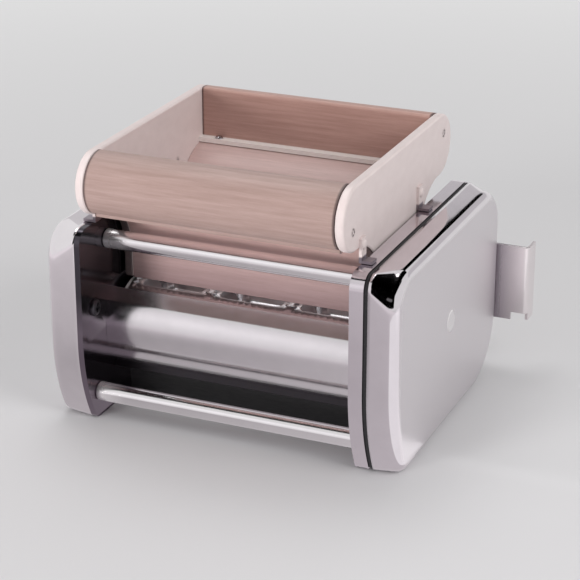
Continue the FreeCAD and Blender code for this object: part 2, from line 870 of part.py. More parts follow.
def involute_gear(label, axis, turn):
    """A spur gear on its shaft: each flank is an arc through three points of the involute."""
    teeth = int(size("gear_teeth").value)
    module = size("gear_module").value
    pitch_radius = module * teeth / 2
    base = pitch_radius * math.cos(math.radians(PRESSURE_ANGLE))
    tip = pitch_radius + module
    foot = pitch_radius - DEDENDUM * module

    def involute(radius):
        """Angle that an involute has turned through at a radius."""
        spread = math.sqrt(max((radius / base) ** 2 - 1, 0))
        return spread - math.atan(spread)

    tooth_half = math.pi / (2 * teeth) - size("tooth_backlash").value / (2 * pitch_radius)
    base_half = tooth_half + involute(pitch_radius)

    def flank_point(radius, side, number):
        bearing = 2 * math.pi * number / teeth + side * (base_half - involute(radius))
        return Vector(0, radius * math.cos(bearing), radius * math.sin(bearing))

    edges = []
    start = max(base, foot)
    for number in range(teeth):
        rising = [flank_point(radius, -1, number) for radius in (start, (start + tip) / 2, tip)]
        falling = [flank_point(radius, 1, number) for radius in (tip, (start + tip) / 2, start)]
        middle = 2 * math.pi * number / teeth
        crest = Vector(0, tip * math.cos(middle), tip * math.sin(middle))
        valley = middle + math.pi / teeth
        bottom = Vector(0, foot * math.cos(valley), foot * math.sin(valley))
        following = flank_point(start, -1, number + 1)
        low_left = flank_point(start, 1, number) * (foot / start)
        low_right = following * (foot / start)
        edges += [
            Part.Arc(*rising).toShape(),
            Part.Arc(rising[2], crest, falling[0]).toShape(),
            Part.Arc(*falling).toShape(),
            Part.LineSegment(falling[2], low_left).toShape(),
            Part.Arc(low_left, bottom, low_right).toShape(),
            Part.LineSegment(low_right, following).toShape(),
        ]
    width = size("gear_width").value
    blank = Part.Face(Part.Wire(edges)).extrude(Vector(width, 0, 0))
    bore = Part.makeCylinder(shaft.value, width, Vector(0, 0, 0), Vector(1, 0, 0))
    gear = doc.addObject("Part::Feature", label)
    gear.Label = label
    gear.Shape = blank.cut(bore)
    gear.Placement = Placement(
        Vector(gear_start.value, axis.value, axis_height.value), Rotation(Vector(1, 0, 0), turn)
    )
    move(gear, gear_start, axis, axis_height)
    PARTS.append(gear)


# with an even number of teeth the second gear is turned by half a tooth, so that they mesh
even_teeth = SIZES["gear_teeth"] % 2 == 0
involute_gear("drive_gear", front_axis, 0)
involute_gear("driven_gear", rear_axis, HALF_TOOTH if even_teeth else 0)

# ---------------------------------------------------------------- guards and scrapers


def tabbed_strip(label, shape, tab):
    """A strip between the plates whose tabs pass through their slots."""
    body = side_pad(label, -half_width, size("inner_width"), *shape)
    sketch = new_sketch(body, "YZ_Plane", left_outside)
    outline(sketch, *tab)
    pad(body, sketch, right_web - left_outside)
    return body


guard = guard_outline(hem=size("guard_hem"))
tabbed_strip("front_guard", guard, guard_tab)
tabbed_strip("rear_guard", mirrored(*guard), mirrored(*guard_tab))
tabbed_strip("front_scraper", scraper_outline(), scraper_tab)
tabbed_strip("rear_scraper", mirrored(*scraper_outline()), mirrored(*scraper_tab))

# ---------------------------------------------------------------- brackets and rivets


def bracket(side):
    """A folded bracket: a leaf riveted inside the plate, an outward web and a rear lip."""
    gauge = size("bracket_sheet")
    web = size("frame_rear") + size("bracket_clearance")
    leaf_inner = half_width - gauge
    reach = size("bracket_reach")
    body = new_body("right_bracket" if side > 0 else "left_bracket")
    plan = new_sketch(body, "XY_Plane", size("bracket_bottom"))
    corners = [
        (leaf_inner, size("frame_rear") - size("bracket_leaf")),
        (half_width, size("frame_rear") - size("bracket_leaf")),
        (half_width, web),
        (reach, web),
        (reach, web + size("bracket_lip")),
        (reach - gauge, web + size("bracket_lip")),
        (reach - gauge, web + gauge),
        (leaf_inner, web + gauge),
    ]
    outline(plan, [(across * side, depth) for across, depth in corners])
    pad(body, plan, size("bracket_height"))
    notch = new_sketch(body, "XY_Plane", size("bracket_bottom"))
    notch_end = reach - gauge - size("bracket_notch_width")
    corners = [
        (notch_end, web - OVERCUT),
        (reach - gauge, web - OVERCUT),
        (reach - gauge, web + gauge + OVERCUT),
        (notch_end, web + gauge + OVERCUT),
    ]
    outline(notch, [(across * side, depth) for across, depth in corners])
    pocket(body, notch, size("bracket_notch_height"))
    holes = new_sketch(body, "YZ_Plane", leaf_inner if side > 0 else -half_width)
    for at in leaf_rivets():
        circle(holes, at, size("rivet_diameter") / 2)
    pocket(body, holes, gauge)


bracket(1)
bracket(-1)

rivets = []
leaf_face = half_width - size("bracket_sheet")
rivet_head = size("rivet_head_height")
for at in leaf_rivets():
    for inner, outer, sense in ((leaf_face, right_web, 1), (-leaf_face, left_outside, -1)):
        inner_head = inner - rivet_head * sense
        outer_head = outer + rivet_head * sense
        head_radius = size("rivet_head") / 2
        spans = [
            (inner_head, inner, head_radius),
            (inner, outer, size("rivet_diameter") / 2),
            (outer, outer_head, head_radius),
        ]
        rivets.append(fused([span_rod(*span, at) for span in spans]))
group("bracket_rivets", rivets)

# ---------------------------------------------------------------- hopper

cheek_outer = half_width - size("hopper_side_gap")
cheek_inner = cheek_outer - size("cheek_thickness")
funnel_y = nip - size("funnel_centre")
funnel_z = plate_top - size("funnel_axis_drop")
funnel_bottom = axis_height + size("ridge_radius") + size("funnel_drum_gap")
funnel_under = size("funnel_radius")
funnel_over = funnel_under + size("funnel_wall")
cheek_bottom = funnel_z + funnel_under
board_seat = funnel_z + funnel_over
hopper_top = plate_top + size("hopper_rise")
nose_radius = (hopper_top - cheek_bottom) / 2
nose_y = nip - size("hopper_reach") + nose_radius
nose_z = hopper_top - nose_radius
nose_drop = nose_z - board_seat
board_inner = nose_y + size("board_shoulder")
under_nose = nose_y - root(nose_radius * nose_radius - nose_drop * nose_drop)

funnel_outline = (
    [
        (funnel_y + funnel_under, funnel_bottom),
        (funnel_y + funnel_over, funnel_bottom),
        (funnel_y + funnel_over, funnel_z),
        (funnel_y, board_seat),
        (funnel_y - size("funnel_lip"), board_seat),
        (funnel_y - size("funnel_lip"), cheek_bottom),
        (funnel_y, cheek_bottom),
        (funnel_y + funnel_under, funnel_z),
    ],
    {2: funnel_over, 6: -funnel_under},
)
board_outline = (
    [
        (board_inner, board_seat),
        (board_inner, hopper_top),
        (nose_y, hopper_top),
        (under_nose, board_seat),
    ],
    {2: nose_radius},
)
SCREW_OUT = 0.25  # of the nose radius, from its centre outward
SCREW_OFF = 1 / 3  # of the nose radius, down at the front and up at the rear
screw_out = nose_radius * SCREW_OUT
screw_off = nose_radius * SCREW_OFF
SCREW_SPOTS = [
    (nose_y - screw_out, nose_z - screw_off),
    (2 * nip - nose_y + screw_out, nose_z + screw_off),
]
LUG_SPOTS = [nip - size("lug_front"), nip + size("lug_rear")]
lug_foot = plate_top + size("lug_seat_gap")
lug_top = lug_foot + size("lug_height")
lug_rivet_height = lug_top - size("lug_rivet_drop")

side_pad("front_funnel_wall", -cheek_inner, cheek_inner * 2, *funnel_outline)
side_pad("rear_funnel_wall", -cheek_inner, cheek_inner * 2, *mirrored(*funnel_outline))


SAME_PLACE = 1e-3


def board(label, shape, screw_spot):
    """A bull-nosed board between the cheeks, drilled at both ends for a screw."""
    body = side_pad(label, -cheek_inner, cheek_inner * 2, *shape)
    inner_edge = shape[0][1]

    def at_inner_top(edge):
        middle = edge.CenterOfMass
        miss = math.hypot(middle.y - inner_edge[0].value, middle.z - inner_edge[1].value)
        return miss < SAME_PLACE and edge.BoundBox.XLength > size("board_edge_radius").value

    round_edges(body, size("board_edge_radius"), at_inner_top)
    for start in (-cheek_inner, cheek_inner - size("cheek_screw_reach")):
        holes = new_sketch(body, "YZ_Plane", start)
        circle(holes, screw_spot, size("cheek_screw_diameter") / 2)
        pocket(body, holes, size("cheek_screw_reach"))


board("front_board", board_outline, SCREW_SPOTS[0])
board("rear_board", mirrored(*board_outline), SCREW_SPOTS[1])


def cheek(side):
    """An end board: rounded ends above, and below them a tongue that closes the funnel."""
    far = 2 * nip
    corners = [
        (funnel_y + funnel_under, funnel_bottom),
        (far - funnel_y - funnel_under, funnel_bottom),
        (far - funnel_y - funnel_under, funnel_z),
        (far - funnel_y, cheek_bottom),
        (far - nose_y, cheek_bottom),
        (far - nose_y + nose_radius, nose_z),
        (far - nose_y, hopper_top),
        (nose_y, hopper_top),
        (nose_y - nose_radius, nose_z),
        (nose_y, cheek_bottom),
        (funnel_y, cheek_bottom),
        (funnel_y + funnel_under, funnel_z),
    ]
    bows = {
        2: -funnel_under,
        4: nose_radius,
        5: nose_radius,
        7: nose_radius,
        8: nose_radius,
        10: -funnel_under,
    }
    start = cheek_inner if side > 0 else -cheek_outer
    label = "right_cheek" if side > 0 else "left_cheek"
    body = side_pad(label, start, size("cheek_thickness"), corners, bows)
    holes = new_sketch(body, "YZ_Plane", start)
    for at in SCREW_SPOTS:
        circle(holes, at, size("cheek_screw_diameter") / 2)
    for spot in LUG_SPOTS:
        circle(holes, (spot, lug_rivet_height), size("lug_rivet_diameter") / 2)
    pocket(body, holes, size("cheek_thickness"))
    head = size("cheek_screw_head_height")
    seats = new_sketch(body, "YZ_Plane", cheek_outer - head if side > 0 else -cheek_outer)
    for at in SCREW_SPOTS:
        circle(seats, at, size("cheek_screw_head") / 2)
    pocket(body, seats, head)


cheek(-1)
cheek(1)

cheek_screws = []
for at in SCREW_SPOTS:
    for side in (-1, 1):
        face = cheek_outer * side
        seat = (cheek_outer - size("cheek_screw_head_height")) * side
        tip = (cheek_inner - size("cheek_screw_reach")) * side
        head = (face, seat, size("cheek_screw_head") / 2)
        shank = (seat, tip, size("cheek_screw_diameter") / 2)
        cheek_screws.append(headed_pin(head, shank, at))
group("cheek_screws", cheek_screws)


def block(*spans):
    """A plain block from its spans along X, Y and Z, each given in either order."""
    box = doc.addObject("Part::Box", "block")
    spans = [sorted(span, key=lambda place_on: place_on.value) for span in spans]
    for name, (start, end) in zip(("Length", "Width", "Height"), spans):
        bind(box, name, end - start)
    move(box, *(start for start, end in spans))
    return box


def upright_pin(across, depth, seat, top):
    """A pin with a flat round head, pressed down through a rail."""
    shank = doc.addObject("Part::Cylinder", "shank")
    bind(shank, "Radius", size("rail_pin_diameter") / 2)
    bind(shank, "Height", top - seat)
    move(shank, across, depth, seat)
    cap = doc.addObject("Part::Cylinder", "cap")
    bind(cap, "Radius", size("rail_pin_head") / 2)
    bind(cap, "Height", size("rail_pin_head_height"))
    move(cap, across, depth, top)
    return shank, cap


rails = []
rail_pins = []
rail_top = board_seat + size("rail_height")
for wall_face, sense in ((board_inner, 1), (2 * nip - board_inner, -1)):
    edge = wall_face + size("rail_width") * sense
    bar = block((-cheek_inner, cheek_inner), (wall_face, edge), (board_seat, rail_top))
    bores = []
    for side in (-1, 1):
        across = (cheek_inner - size("rail_pin_inset")) * side
        depth = wall_face + size("rail_width") / 2 * sense
        shank, cap = upright_pin(across, depth, board_seat, rail_top)
        rail_pins.append(fused([shank, cap]))
        bores.append(doc.copyObject(shank))
    drilled = doc.addObject("Part::Cut", "rail")
    drilled.Base = bar
    drilled.Tool = fused(bores)
    rails.append(drilled)
group("hopper_rails", rails)
group("rail_pins", rail_pins)

lugs = []
lug_rivets = []
for spot in LUG_SPOTS:
    for side in (-1, 1):
        face = cheek_outer * side
        outer = (cheek_outer + size("lug_sheet")) * side
        tip = (cheek_outer + size("lug_reach")) * side
        front = spot - size("lug_width") / 2
        rear = spot + size("lug_width") / 2
        rivet_at = (spot, lug_rivet_height)
        rivet_radius = size("lug_rivet_diameter") / 2
        leaf = block((face, outer), (front, rear), (lug_foot, lug_top))
        foot = block((face, tip), (front, rear), (lug_foot, lug_foot + size("lug_sheet")))
        cut = doc.addObject("Part::Cut", "lug")
        cut.Base = fused([leaf, foot])
        cut.Tool = span_rod(face, outer, rivet_radius, rivet_at)
        lugs.append(cut)
        head_end = outer + size("lug_rivet_head_height") * side
        head = (outer, head_end, size("lug_rivet_head") / 2)
        shank = (cheek_inner * side, outer, rivet_radius)
        lug_rivets.append(headed_pin(head, shank, rivet_at))
group("hopper_lugs", lugs)
group("lug_rivets", lug_rivets)

# ---------------------------------------------------------------- check and write

doc.recompute()
faults = [item.Label for item in doc.Objects if {"Invalid", "Error"} & set(item.State)]
faults += [part.Label for part in PARTS if part.Shape.isNull() or not part.Shape.isValid()]
if faults:
    raise RuntimeError("these objects failed: " + ", ".join(faults))
os.makedirs("parts", exist_ok=True)
for part in PARTS:
    part.Shape.exportStep(f"parts/{part.Label}.step")
    box = part.Shape.BoundBox
    print(
        f"{part.Label:20s} {len(part.Shape.Solids)} solids {part.Shape.Volume:10.1f} mm3"
        f"  X {box.XMin:7.2f} {box.XMax:7.2f}  Y {box.YMin:7.2f} {box.YMax:7.2f}"
        f"  Z {box.ZMin:7.2f} {box.ZMax:7.2f}"
    )
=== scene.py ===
import math

import bmesh
import bpy
from mathutils import Matrix, Vector


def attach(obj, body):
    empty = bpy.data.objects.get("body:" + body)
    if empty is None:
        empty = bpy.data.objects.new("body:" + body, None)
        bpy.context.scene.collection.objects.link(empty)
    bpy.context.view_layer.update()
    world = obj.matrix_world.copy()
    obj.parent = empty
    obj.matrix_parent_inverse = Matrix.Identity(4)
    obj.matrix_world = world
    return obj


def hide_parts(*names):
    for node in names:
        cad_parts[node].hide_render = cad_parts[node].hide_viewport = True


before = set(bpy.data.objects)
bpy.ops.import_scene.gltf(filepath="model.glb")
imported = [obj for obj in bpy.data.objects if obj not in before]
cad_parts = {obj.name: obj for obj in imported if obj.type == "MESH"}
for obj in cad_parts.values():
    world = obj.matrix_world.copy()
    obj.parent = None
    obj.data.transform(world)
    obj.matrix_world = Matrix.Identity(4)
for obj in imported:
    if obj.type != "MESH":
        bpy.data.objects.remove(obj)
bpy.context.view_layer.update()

# ---------------------------------------------------------------------------------------------
# Side plates. Two upright steel sheets hold the whole machine; the right one has its edge
# turned outward all round. Punched flat, folded in a press, then nickel and chrome plated.
# ---------------------------------------------------------------------------------------------

MM = 0.001
PLATE_INNER = 58.0  # from the middle to the inner face of either plate
LEFT_OUTSIDE = -60.5
RIGHT_WEB = 60.0
RIGHT_RIM = 63.8
PLATE_TOP = 86.0
SHADOWED_STEEL = (0.075, 0.068, 0.080)
PLATED_STEEL = (0.70, 0.655, 0.69)
ROLLED_GRAIN = (900, 900, 40)


def add_node(tree, kind, **settings):
    """A shader or geometry node; a setting is either a property or an input socket's value."""
    node = tree.nodes.new(kind)
    for name, value in settings.items():
        if hasattr(node, name):
            setattr(node, name, value)
        else:
            node.inputs[name.replace("_", " ")].default_value = value
    return node


def new_finish(name):
    """An empty node material; returns the material, its tree and its Principled shader."""
    material = bpy.data.materials.new(name)
    material.use_nodes = True
    tree = material.node_tree
    return material, tree, tree.nodes["Principled BSDF"]


def object_pattern(tree, kind, stretch, **settings):
    """A noise or similar texture on object coordinates, squeezed along X, Y and Z by stretch."""
    place = add_node(tree, "ShaderNodeTexCoord")
    scaled = add_node(tree, "ShaderNodeMapping")
    scaled.inputs["Scale"].default_value = stretch
    texture = add_node(tree, kind, **settings)
    tree.links.new(place.outputs["Object"], scaled.inputs["Vector"])
    tree.links.new(scaled.outputs["Vector"], texture.inputs["Vector"])
    return texture


def ramp_of(tree, source, stops):
    """A colour ramp driven by a texture's factor; stops are (position, colour)."""
    ramp = add_node(tree, "ShaderNodeValToRGB")
    elements = ramp.color_ramp.elements
    for index, (position, colour) in enumerate(stops):
        element = elements[index] if index < 2 else elements.new(position)
        element.position = position
        element.color = (*colour, 1)
    tree.links.new(source, ramp.inputs["Fac"])
    return ramp.outputs["Color"]


def ranged(tree, source, low, high, from_low=0.3, from_high=0.7):
    """A texture's factor spread over a range of values."""
    spread = add_node(tree, "ShaderNodeMapRange")
    tree.links.new(source, spread.inputs["Value"])
    for name, value in (
        ("From Min", from_low),
        ("From Max", from_high),
        ("To Min", low),
        ("To Max", high),
    ):
        spread.inputs[name].default_value = value
    return spread.outputs["Result"]


def object_height(tree, axis):
    """One object coordinate as a value, in metres."""
    place = add_node(tree, "ShaderNodeTexCoord")
    parts = add_node(tree, "ShaderNodeSeparateXYZ")
    tree.links.new(place.outputs["Object"], parts.inputs["Vector"])
    return parts.outputs[axis]


def mixed(tree, share, first, second, **settings):
    """A blend of two tones or values; each input is another node's output or a constant."""
    blend = add_node(tree, "ShaderNodeMix", **settings)
    for name, value in (("Factor", share), ("A", first), ("B", second)):
        if isinstance(value, bpy.types.NodeSocket):
            tree.links.new(value, blend.inputs[name])
        else:
            blend.inputs[name].default_value = value
    return blend.outputs["Result"]


def raise_skin(tree, shader, heights):
    """Chains bumps; heights lists (texture factor, depth in metres)."""
    normal = None
    for factor, depth in heights:
        bump = add_node(tree, "ShaderNodeBump", Strength=1.0, Distance=depth)
        tree.links.new(factor, bump.inputs["Height"])
        if normal is not None:
            tree.links.new(normal, bump.inputs["Normal"])
        normal = bump.outputs["Normal"]
    tree.links.new(normal, shader.inputs["Normal"])


def metal_finish(name, colour, roughness, drawn, scratch=0.0000006, wave=0.0, zone=None):
    """Bare or plated metal: a faint cloud of tone, rubbed patches, fine marks as it was drawn.

    zone is (axis, start, end, colour, roughness, metallic): between start and end, in
    millimetres along the axis, the finish turns to these.
    """
    material, tree, shader = new_finish(name)
    shader.inputs["Metallic"].default_value = 1.0
    clouds = object_pattern(tree, "ShaderNodeTexNoise", (25, 25, 25), Detail=2.0)
    rubbed = object_pattern(tree, "ShaderNodeTexNoise", (90, 90, 90), Detail=3.0)
    marks = object_pattern(tree, "ShaderNodeTexNoise", drawn, Detail=3.0, Roughness=0.6)
    dull = tuple(channel * 0.97 for channel in colour)
    tone = ramp_of(tree, clouds.outputs["Fac"], [(0.35, dull), (0.65, colour)])
    worn = ranged(tree, rubbed.outputs["Fac"], roughness * 0.92, roughness * 1.12)
    if zone:
        axis, start, end, far_colour, far_roughness, far_metallic = zone
        share = ranged(tree, object_height(tree, axis), 0.0, 1.0, start * MM, end * MM)
        tone = mixed(tree, share, tone, (*far_colour, 1), data_type="RGBA")
        worn = mixed(tree, share, worn, far_roughness, data_type="FLOAT")
        tree.links.new(ranged(tree, share, 1.0, far_metallic, 0.0, 1.0), shader.inputs["Metallic"])
    tree.links.new(tone, shader.inputs["Base Color"])
    tree.links.new(worn, shader.inputs["Roughness"])
    heights = [(marks.outputs["Fac"], scratch)]
    if wave:
        swell = object_pattern(tree, "ShaderNodeTexNoise", (22, 22, 22), Detail=0.0)
        heights.append((swell.outputs["Fac"], wave))
    raise_skin(tree, shader, heights)
    return material


polished_chrome = metal_finish("polished_chrome", PLATED_STEEL, 0.10, ROLLED_GRAIN)
# The left plate and the right plate's inner face are painted dark as shade, darkest above 58 mm;
# below 42 mm they are painted lighter, a painted reflection of the guard.
plate_painted_shade_and_reflection = metal_finish(
    "plate_painted_shade_and_reflection", (0.24, 0.20, 0.24), 0.13, ROLLED_GRAIN,
    zone=("Z", 42, 58, SHADOWED_STEEL, 0.13, 1.0),
)


def smooth_copy(node, bevel, name=None, turned_edges=None):
    """A closed, smoothly shaded copy of a machined node with its sharp edges eased."""
    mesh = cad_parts[node].data.copy()
    form = bmesh.new()
    form.from_mesh(mesh)
    bmesh.ops.remove_doubles(form, verts=form.verts, dist=0.000002)
    bmesh.ops.dissolve_limit(
        form, angle_limit=math.radians(0.4), verts=form.verts, edges=form.edges
    )
    if turned_edges:
        weights = form.edges.layers.float.new("bevel_weight_edge")
        for edge in form.edges:
            sharp = edge.is_manifold and edge.calc_face_angle(0) > math.radians(40)
            edge[weights] = turned_edges(edge) if sharp else 0.0
    form.to_mesh(mesh)
    form.free()
    mesh.materials.clear()
    piece = bpy.data.objects.new(name or node + "_finished", mesh)
    bpy.context.scene.collection.objects.link(piece)
    ease_edges(piece, bevel, by_weight=bool(turned_edges))
    return piece


def ease_edges(piece, width, segments=2, by_weight=False, angle=38):
    """A small rounding on a piece's sharp edges, and smooth shading between them."""
    mesh = piece.data
    mesh.polygons.foreach_set("use_smooth", [True] * len(mesh.polygons))
    mesh.set_sharp_from_angle(angle=math.radians(angle))
    if width:
        bevel = piece.modifiers.new("eased", "BEVEL")
        bevel.width = width * MM
        bevel.segments = segments
        bevel.limit_method = "WEIGHT" if by_weight else "ANGLE"
        bevel.angle_limit = math.radians(angle)
        bevel.use_clamp_overlap = True
        bevel.harden_normals = True
        bevel.miter_outer = "MITER_ARC"


def hand_over(piece, material, body, slot, *stands_for):
    """The last calls on a finished piece: its skin, its body and the nodes it stands for."""
    if material is not None:
        piece.data.materials.append(material)
    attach(piece, body)
    if stands_for:
        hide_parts(*stands_for)


def dress(piece, finishes, pick):
    """Several finishes on one piece; pick gives each face the number of its own."""
    for finish in finishes:
        piece.data.materials.append(finish)
    for face in piece.data.polygons:
        face.material_index = pick(face)


left_plate = smooth_copy("left_side_plate", 0.35, "left_plate_sheet")
hand_over(left_plate, plate_painted_shade_and_reflection, "frame", "polished_chrome", "left_side_plate")


def plate_edge_weight(edge):
    """Full rounding where the right plate's web meets its turned edge, a trace elsewhere."""
    at_web = all(abs(vert.co.x - PLATE_INNER * MM) < 0.0001 for vert in edge.verts)
    sides = [face for face in edge.link_faces if abs(face.normal.x) < 0.1]
    at_turn = any(face.calc_area() > 0.00002 for face in sides)
    return 1.0 if at_web and at_turn else 0.2


def on_inner_face(face):
    """1 on the side of the right plate that faces the drums, 0 elsewhere."""
    return int(face.normal.x < -0.9 and face.center.x < (PLATE_INNER + 0.1) * MM)


right_plate = smooth_copy("right_side_plate", 1.5, "right_plate_sheet", plate_edge_weight)
dress(right_plate, (polished_chrome, plate_painted_shade_and_reflection), on_inner_face)
hand_over(right_plate, None, "frame", "polished_chrome", "right_side_plate")

# ---------------------------------------------------------------------------------------------
# End covers. Deep-drawn steel caps over the gears on the right and the shaft ends on the left,
# polished and chrome plated. Each is held from inside by screws through the side plate.
# ---------------------------------------------------------------------------------------------

FRONT_AXIS = -25.6
REAR_AXIS = 8.9
AXIS_HEIGHT = 36.0
GEAR_COVER_RIM = 65.6
GEAR_COVER_FACE = 78.3
LEFT_COVER_FACE = -74.65
COVER_WALL = 1.2
COVER_EDGE = 4.5
RIM_CORNERS = (6.5, 8.0, 4.0)  # radii at front top, rear top and toe
FACE_CORNERS = (14.0, 18.0, 9.0)
BOSS_PLACE = (-4.65, 46.5)
BOSS_RADIUS = 4.5
SOCKET_WINDOW = 7.5
CROWN = 0.3
PLATE_FRONT, PLATE_REAR = -66.65, 60.35
HEEL_RADIUS = 29.0
BOW_RADIUS, BOW_HEIGHT = 80.0, 38.0  # the bowed front edge


def arc_points(centre, radius, first, last, count):
    """Points along an arc in the YZ plane, its last point left to the next run."""
    angles = [math.radians(first + (last - first) * step / count) for step in range(count)]
    return [(centre[0] + radius * math.cos(a), centre[1] + radius * math.sin(a)) for a in angles]


def line_points(start, end, count):
    """Points along a straight run, its last point left to the next run."""
    shares = [step / count for step in range(count)]
    return [tuple(a + (b - a) * share for a, b in zip(start, end)) for share in shares]


def side_profile(inset, corners):
    """The machine's side outline as (Y, Z) points, always the same number of them."""
    front, rear, top, low = PLATE_FRONT, PLATE_REAR, PLATE_TOP, HEEL_RADIUS
    bow, bow_height = BOW_RADIUS, BOW_HEIGHT
    fore, back, toe = corners
    toe_y = front + bow - math.sqrt((bow - toe) ** 2 - (bow_height - toe) ** 2)
    bow_centre = (front + bow, bow_height)
    toe_turn = math.degrees(math.atan2(toe - bow_height, toe_y - bow_centre[0])) + 360
    points = line_points((toe_y, inset), (rear - low, inset), 20)
    points += arc_points((rear - low, low), low - inset, -90, 0, 28)
    points += line_points((rear - inset, low), (rear - inset, top - back), 12)
    points += arc_points((rear - back, top - back), back - inset, 0, 90, 20)
    points += line_points((rear - back, top - inset), (front + fore, top - inset), 24)
    points += arc_points((front + fore, top - fore), fore - inset, 90, 180, 20)
    points += line_points((front + inset, top - fore), (front + inset, bow_height), 12)
    points += arc_points(bow_centre, bow - inset, 180, toe_turn, 16)
    points += arc_points((toe_y, toe), toe - inset, toe_turn, 270, 12)
    return points


def loft(rings, closed=False, caps=True):
    """A skin through rings of equal count; a ring of one point is a pole. Rings are (x, y, z)."""
    points, faces, spans = [], [], []
    for ring in rings:
        spans.append(range(len(points), len(points) + len(ring)))
        points += ring
    pairs = list(zip(spans, spans[1:])) + ([(spans[-1], spans[0])] if closed else [])
    for lower, upper in pairs:
        count = max(len(lower), len(upper))
        for step in range(count):
            after = (step + 1) % count
            corner = [
                lower[step % len(lower)],
                lower[after % len(lower)],
                upper[after % len(upper)],
                upper[step % len(upper)],
            ]
            faces.append(tuple(dict.fromkeys(corner)))
    if caps and not closed:
        faces += [tuple(span) for span in (spans[0], spans[-1]) if len(span) > 2]
    return points, faces


def at_x(x, ring):
    """A YZ ring placed at one X."""
    return [(x, y, z) for y, z in ring]


def new_piece(name, *shapes, recalc=True):
    """An object from shapes of (points, faces) in millimetres, its faces turned outward."""
    points, faces = [], []
    for shape_points, shape_faces in shapes:
        base = len(points)
        points += [tuple(c * MM for c in point) for point in shape_points]
        faces += [tuple(index + base for index in face) for face in shape_faces]
    mesh = bpy.data.meshes.new(name)
    mesh.from_pydata(points, [], faces)
    form = bmesh.new()
    form.from_mesh(mesh)
    bmesh.ops.remove_doubles(form, verts=form.verts, dist=0.0000005)
    if recalc:
        bmesh.ops.recalc_face_normals(form, faces=form.faces)
    form.to_mesh(mesh)
    form.free()
    piece = bpy.data.objects.new(name, mesh)
    bpy.context.scene.collection.objects.link(piece)
    return piece


def pulled(ring, centre, reach):
    """A YZ ring moved along its spokes to the distance that reach gives for its own."""
    moved = []
    for y, z in ring:
        across, up = y - centre[0], z - centre[1]
        far = math.hypot(across, up)
        moved.append((centre[0] + across / far * reach(far), centre[1] + up / far * reach(far)))
    return moved


def drawn_skin(rim, face, centre, hole_radius, crown):
    """A cover's outer skin: rim, opening corners, rounded edge, and a slightly crowned face."""
    sense = 1 if face > rim else -1
    rings = []
    turn_start = face - COVER_EDGE * sense
    for step in range(7):
        share = step / 6
        blend = zip(side_profile(0, RIM_CORNERS), side_profile(0, FACE_CORNERS))
        ring = [tuple(a + (b - a) * share for a, b in zip(*pair)) for pair in blend]
        rings.append(at_x(rim + (turn_start - rim) * share, ring))
    for step in range(1, 13):
        angle = math.radians(90 * step / 12)
        inset = COVER_EDGE * (1 - math.cos(angle))
        ring = side_profile(inset, FACE_CORNERS)
        rings.append(at_x(turn_start + COVER_EDGE * math.sin(angle) * sense, ring))
    flat = side_profile(COVER_EDGE, FACE_CORNERS)
    steps = 22
    for step in range(1, steps + 1):
        share = step / steps
        rise = crown * (1 - (1 - share) ** 2)
        ring = pulled(flat, centre, lambda far, s=share: far + (hole_radius - far) * s)
        rings.append(at_x(face + rise * sense, ring))
    return rings, flat


gear_rings, face_ring = drawn_skin(
    GEAR_COVER_RIM, GEAR_COVER_FACE, BOSS_PLACE, BOSS_RADIUS + 0.5, 0.35
)
BOSS_STEPS = [  # radius and height over the face
    (4.7, 0.36), (4.5, 0.42), (4.4, 0.52), (4.2, 0.58), (3.6, 0.60), (2.4, 0.56), (1.2, 0.53),
]
for radius, rise in BOSS_STEPS:
    ring = pulled(face_ring, BOSS_PLACE, lambda far, r=radius: r)
    gear_rings.append(at_x(GEAR_COVER_FACE + rise, ring))
gear_rings.append([(GEAR_COVER_FACE + 0.52, *BOSS_PLACE)])

# On the flat face the plating turns satin and is painted lighter: the satin is its finish, the
# lighter tone is painted light.
cover_chrome = metal_finish(
    "cover_chrome", (0.73, 0.69, 0.72), 0.08, ROLLED_GRAIN, wave=0.00003,
    zone=("X", 77.6, 78.4, (0.80, 0.765, 0.785), 0.40, 1.0),
)
# The left cover's plating is a lighter copy of the gear cover's: painted light.
left_cover_painted_light_chrome = metal_finish(
    "left_cover_painted_light_chrome", (0.86, 0.82, 0.845), 0.09, ROLLED_GRAIN, wave=0.00003,
    zone=("X", -73.7, -74.4, (0.82, 0.78, 0.80), 0.40, 1.0),
)
# The boss is painted brighter than the cover: a painted highlight.
boss_painted_highlight = metal_finish("boss_painted_highlight", (0.92, 0.89, 0.90), 0.12, ROLLED_GRAIN)


def on_boss(face):
    """1 on the gear cover's small round boss, 0 elsewhere."""
    off = face.center.yz - Vector(BOSS_PLACE) * MM
    return int(face.center.x > 0 and off.length < (BOSS_RADIUS + 0.1) * MM)


def drawn_cover(name, rings, finish, stands_for):
    """The skin given the sheet's thickness inward; the small boss has a painted highlight."""
    cover = new_piece(name, loft(rings, caps=False), recalc=False)
    form = bmesh.new()
    form.from_mesh(cover.data)
    rim_x = rings[0][0][0] * MM
    side = next(f for f in form.faces if abs(f.normal.x) < 0.3)
    middle = Vector((rim_x, 0, 0.04))
    if side.normal.dot(side.calc_center_median() - middle) < 0:
        bmesh.ops.reverse_faces(form, faces=form.faces)
    form.to_mesh(cover.data)
    form.free()
    ease_edges(cover, 0)
    dress(cover, (finish, boss_painted_highlight), on_boss)
    sheet = cover.modifiers.new("sheet", "SOLIDIFY")
    sheet.thickness = COVER_WALL * MM
    sheet.offset = -1
    sheet.use_even_offset = False
    hand_over(cover, None, "frame", "polished_chrome", stands_for)


drawn_cover("gear_cover_drawn", gear_rings, cover_chrome, "gear_cover")
left_rings, _ = drawn_skin(
    LEFT_OUTSIDE, LEFT_COVER_FACE + CROWN, (FRONT_AXIS, AXIS_HEIGHT), SOCKET_WINDOW, CROWN
)
drawn_cover("left_cover_drawn", left_rings, left_cover_painted_light_chrome, "left_cover")
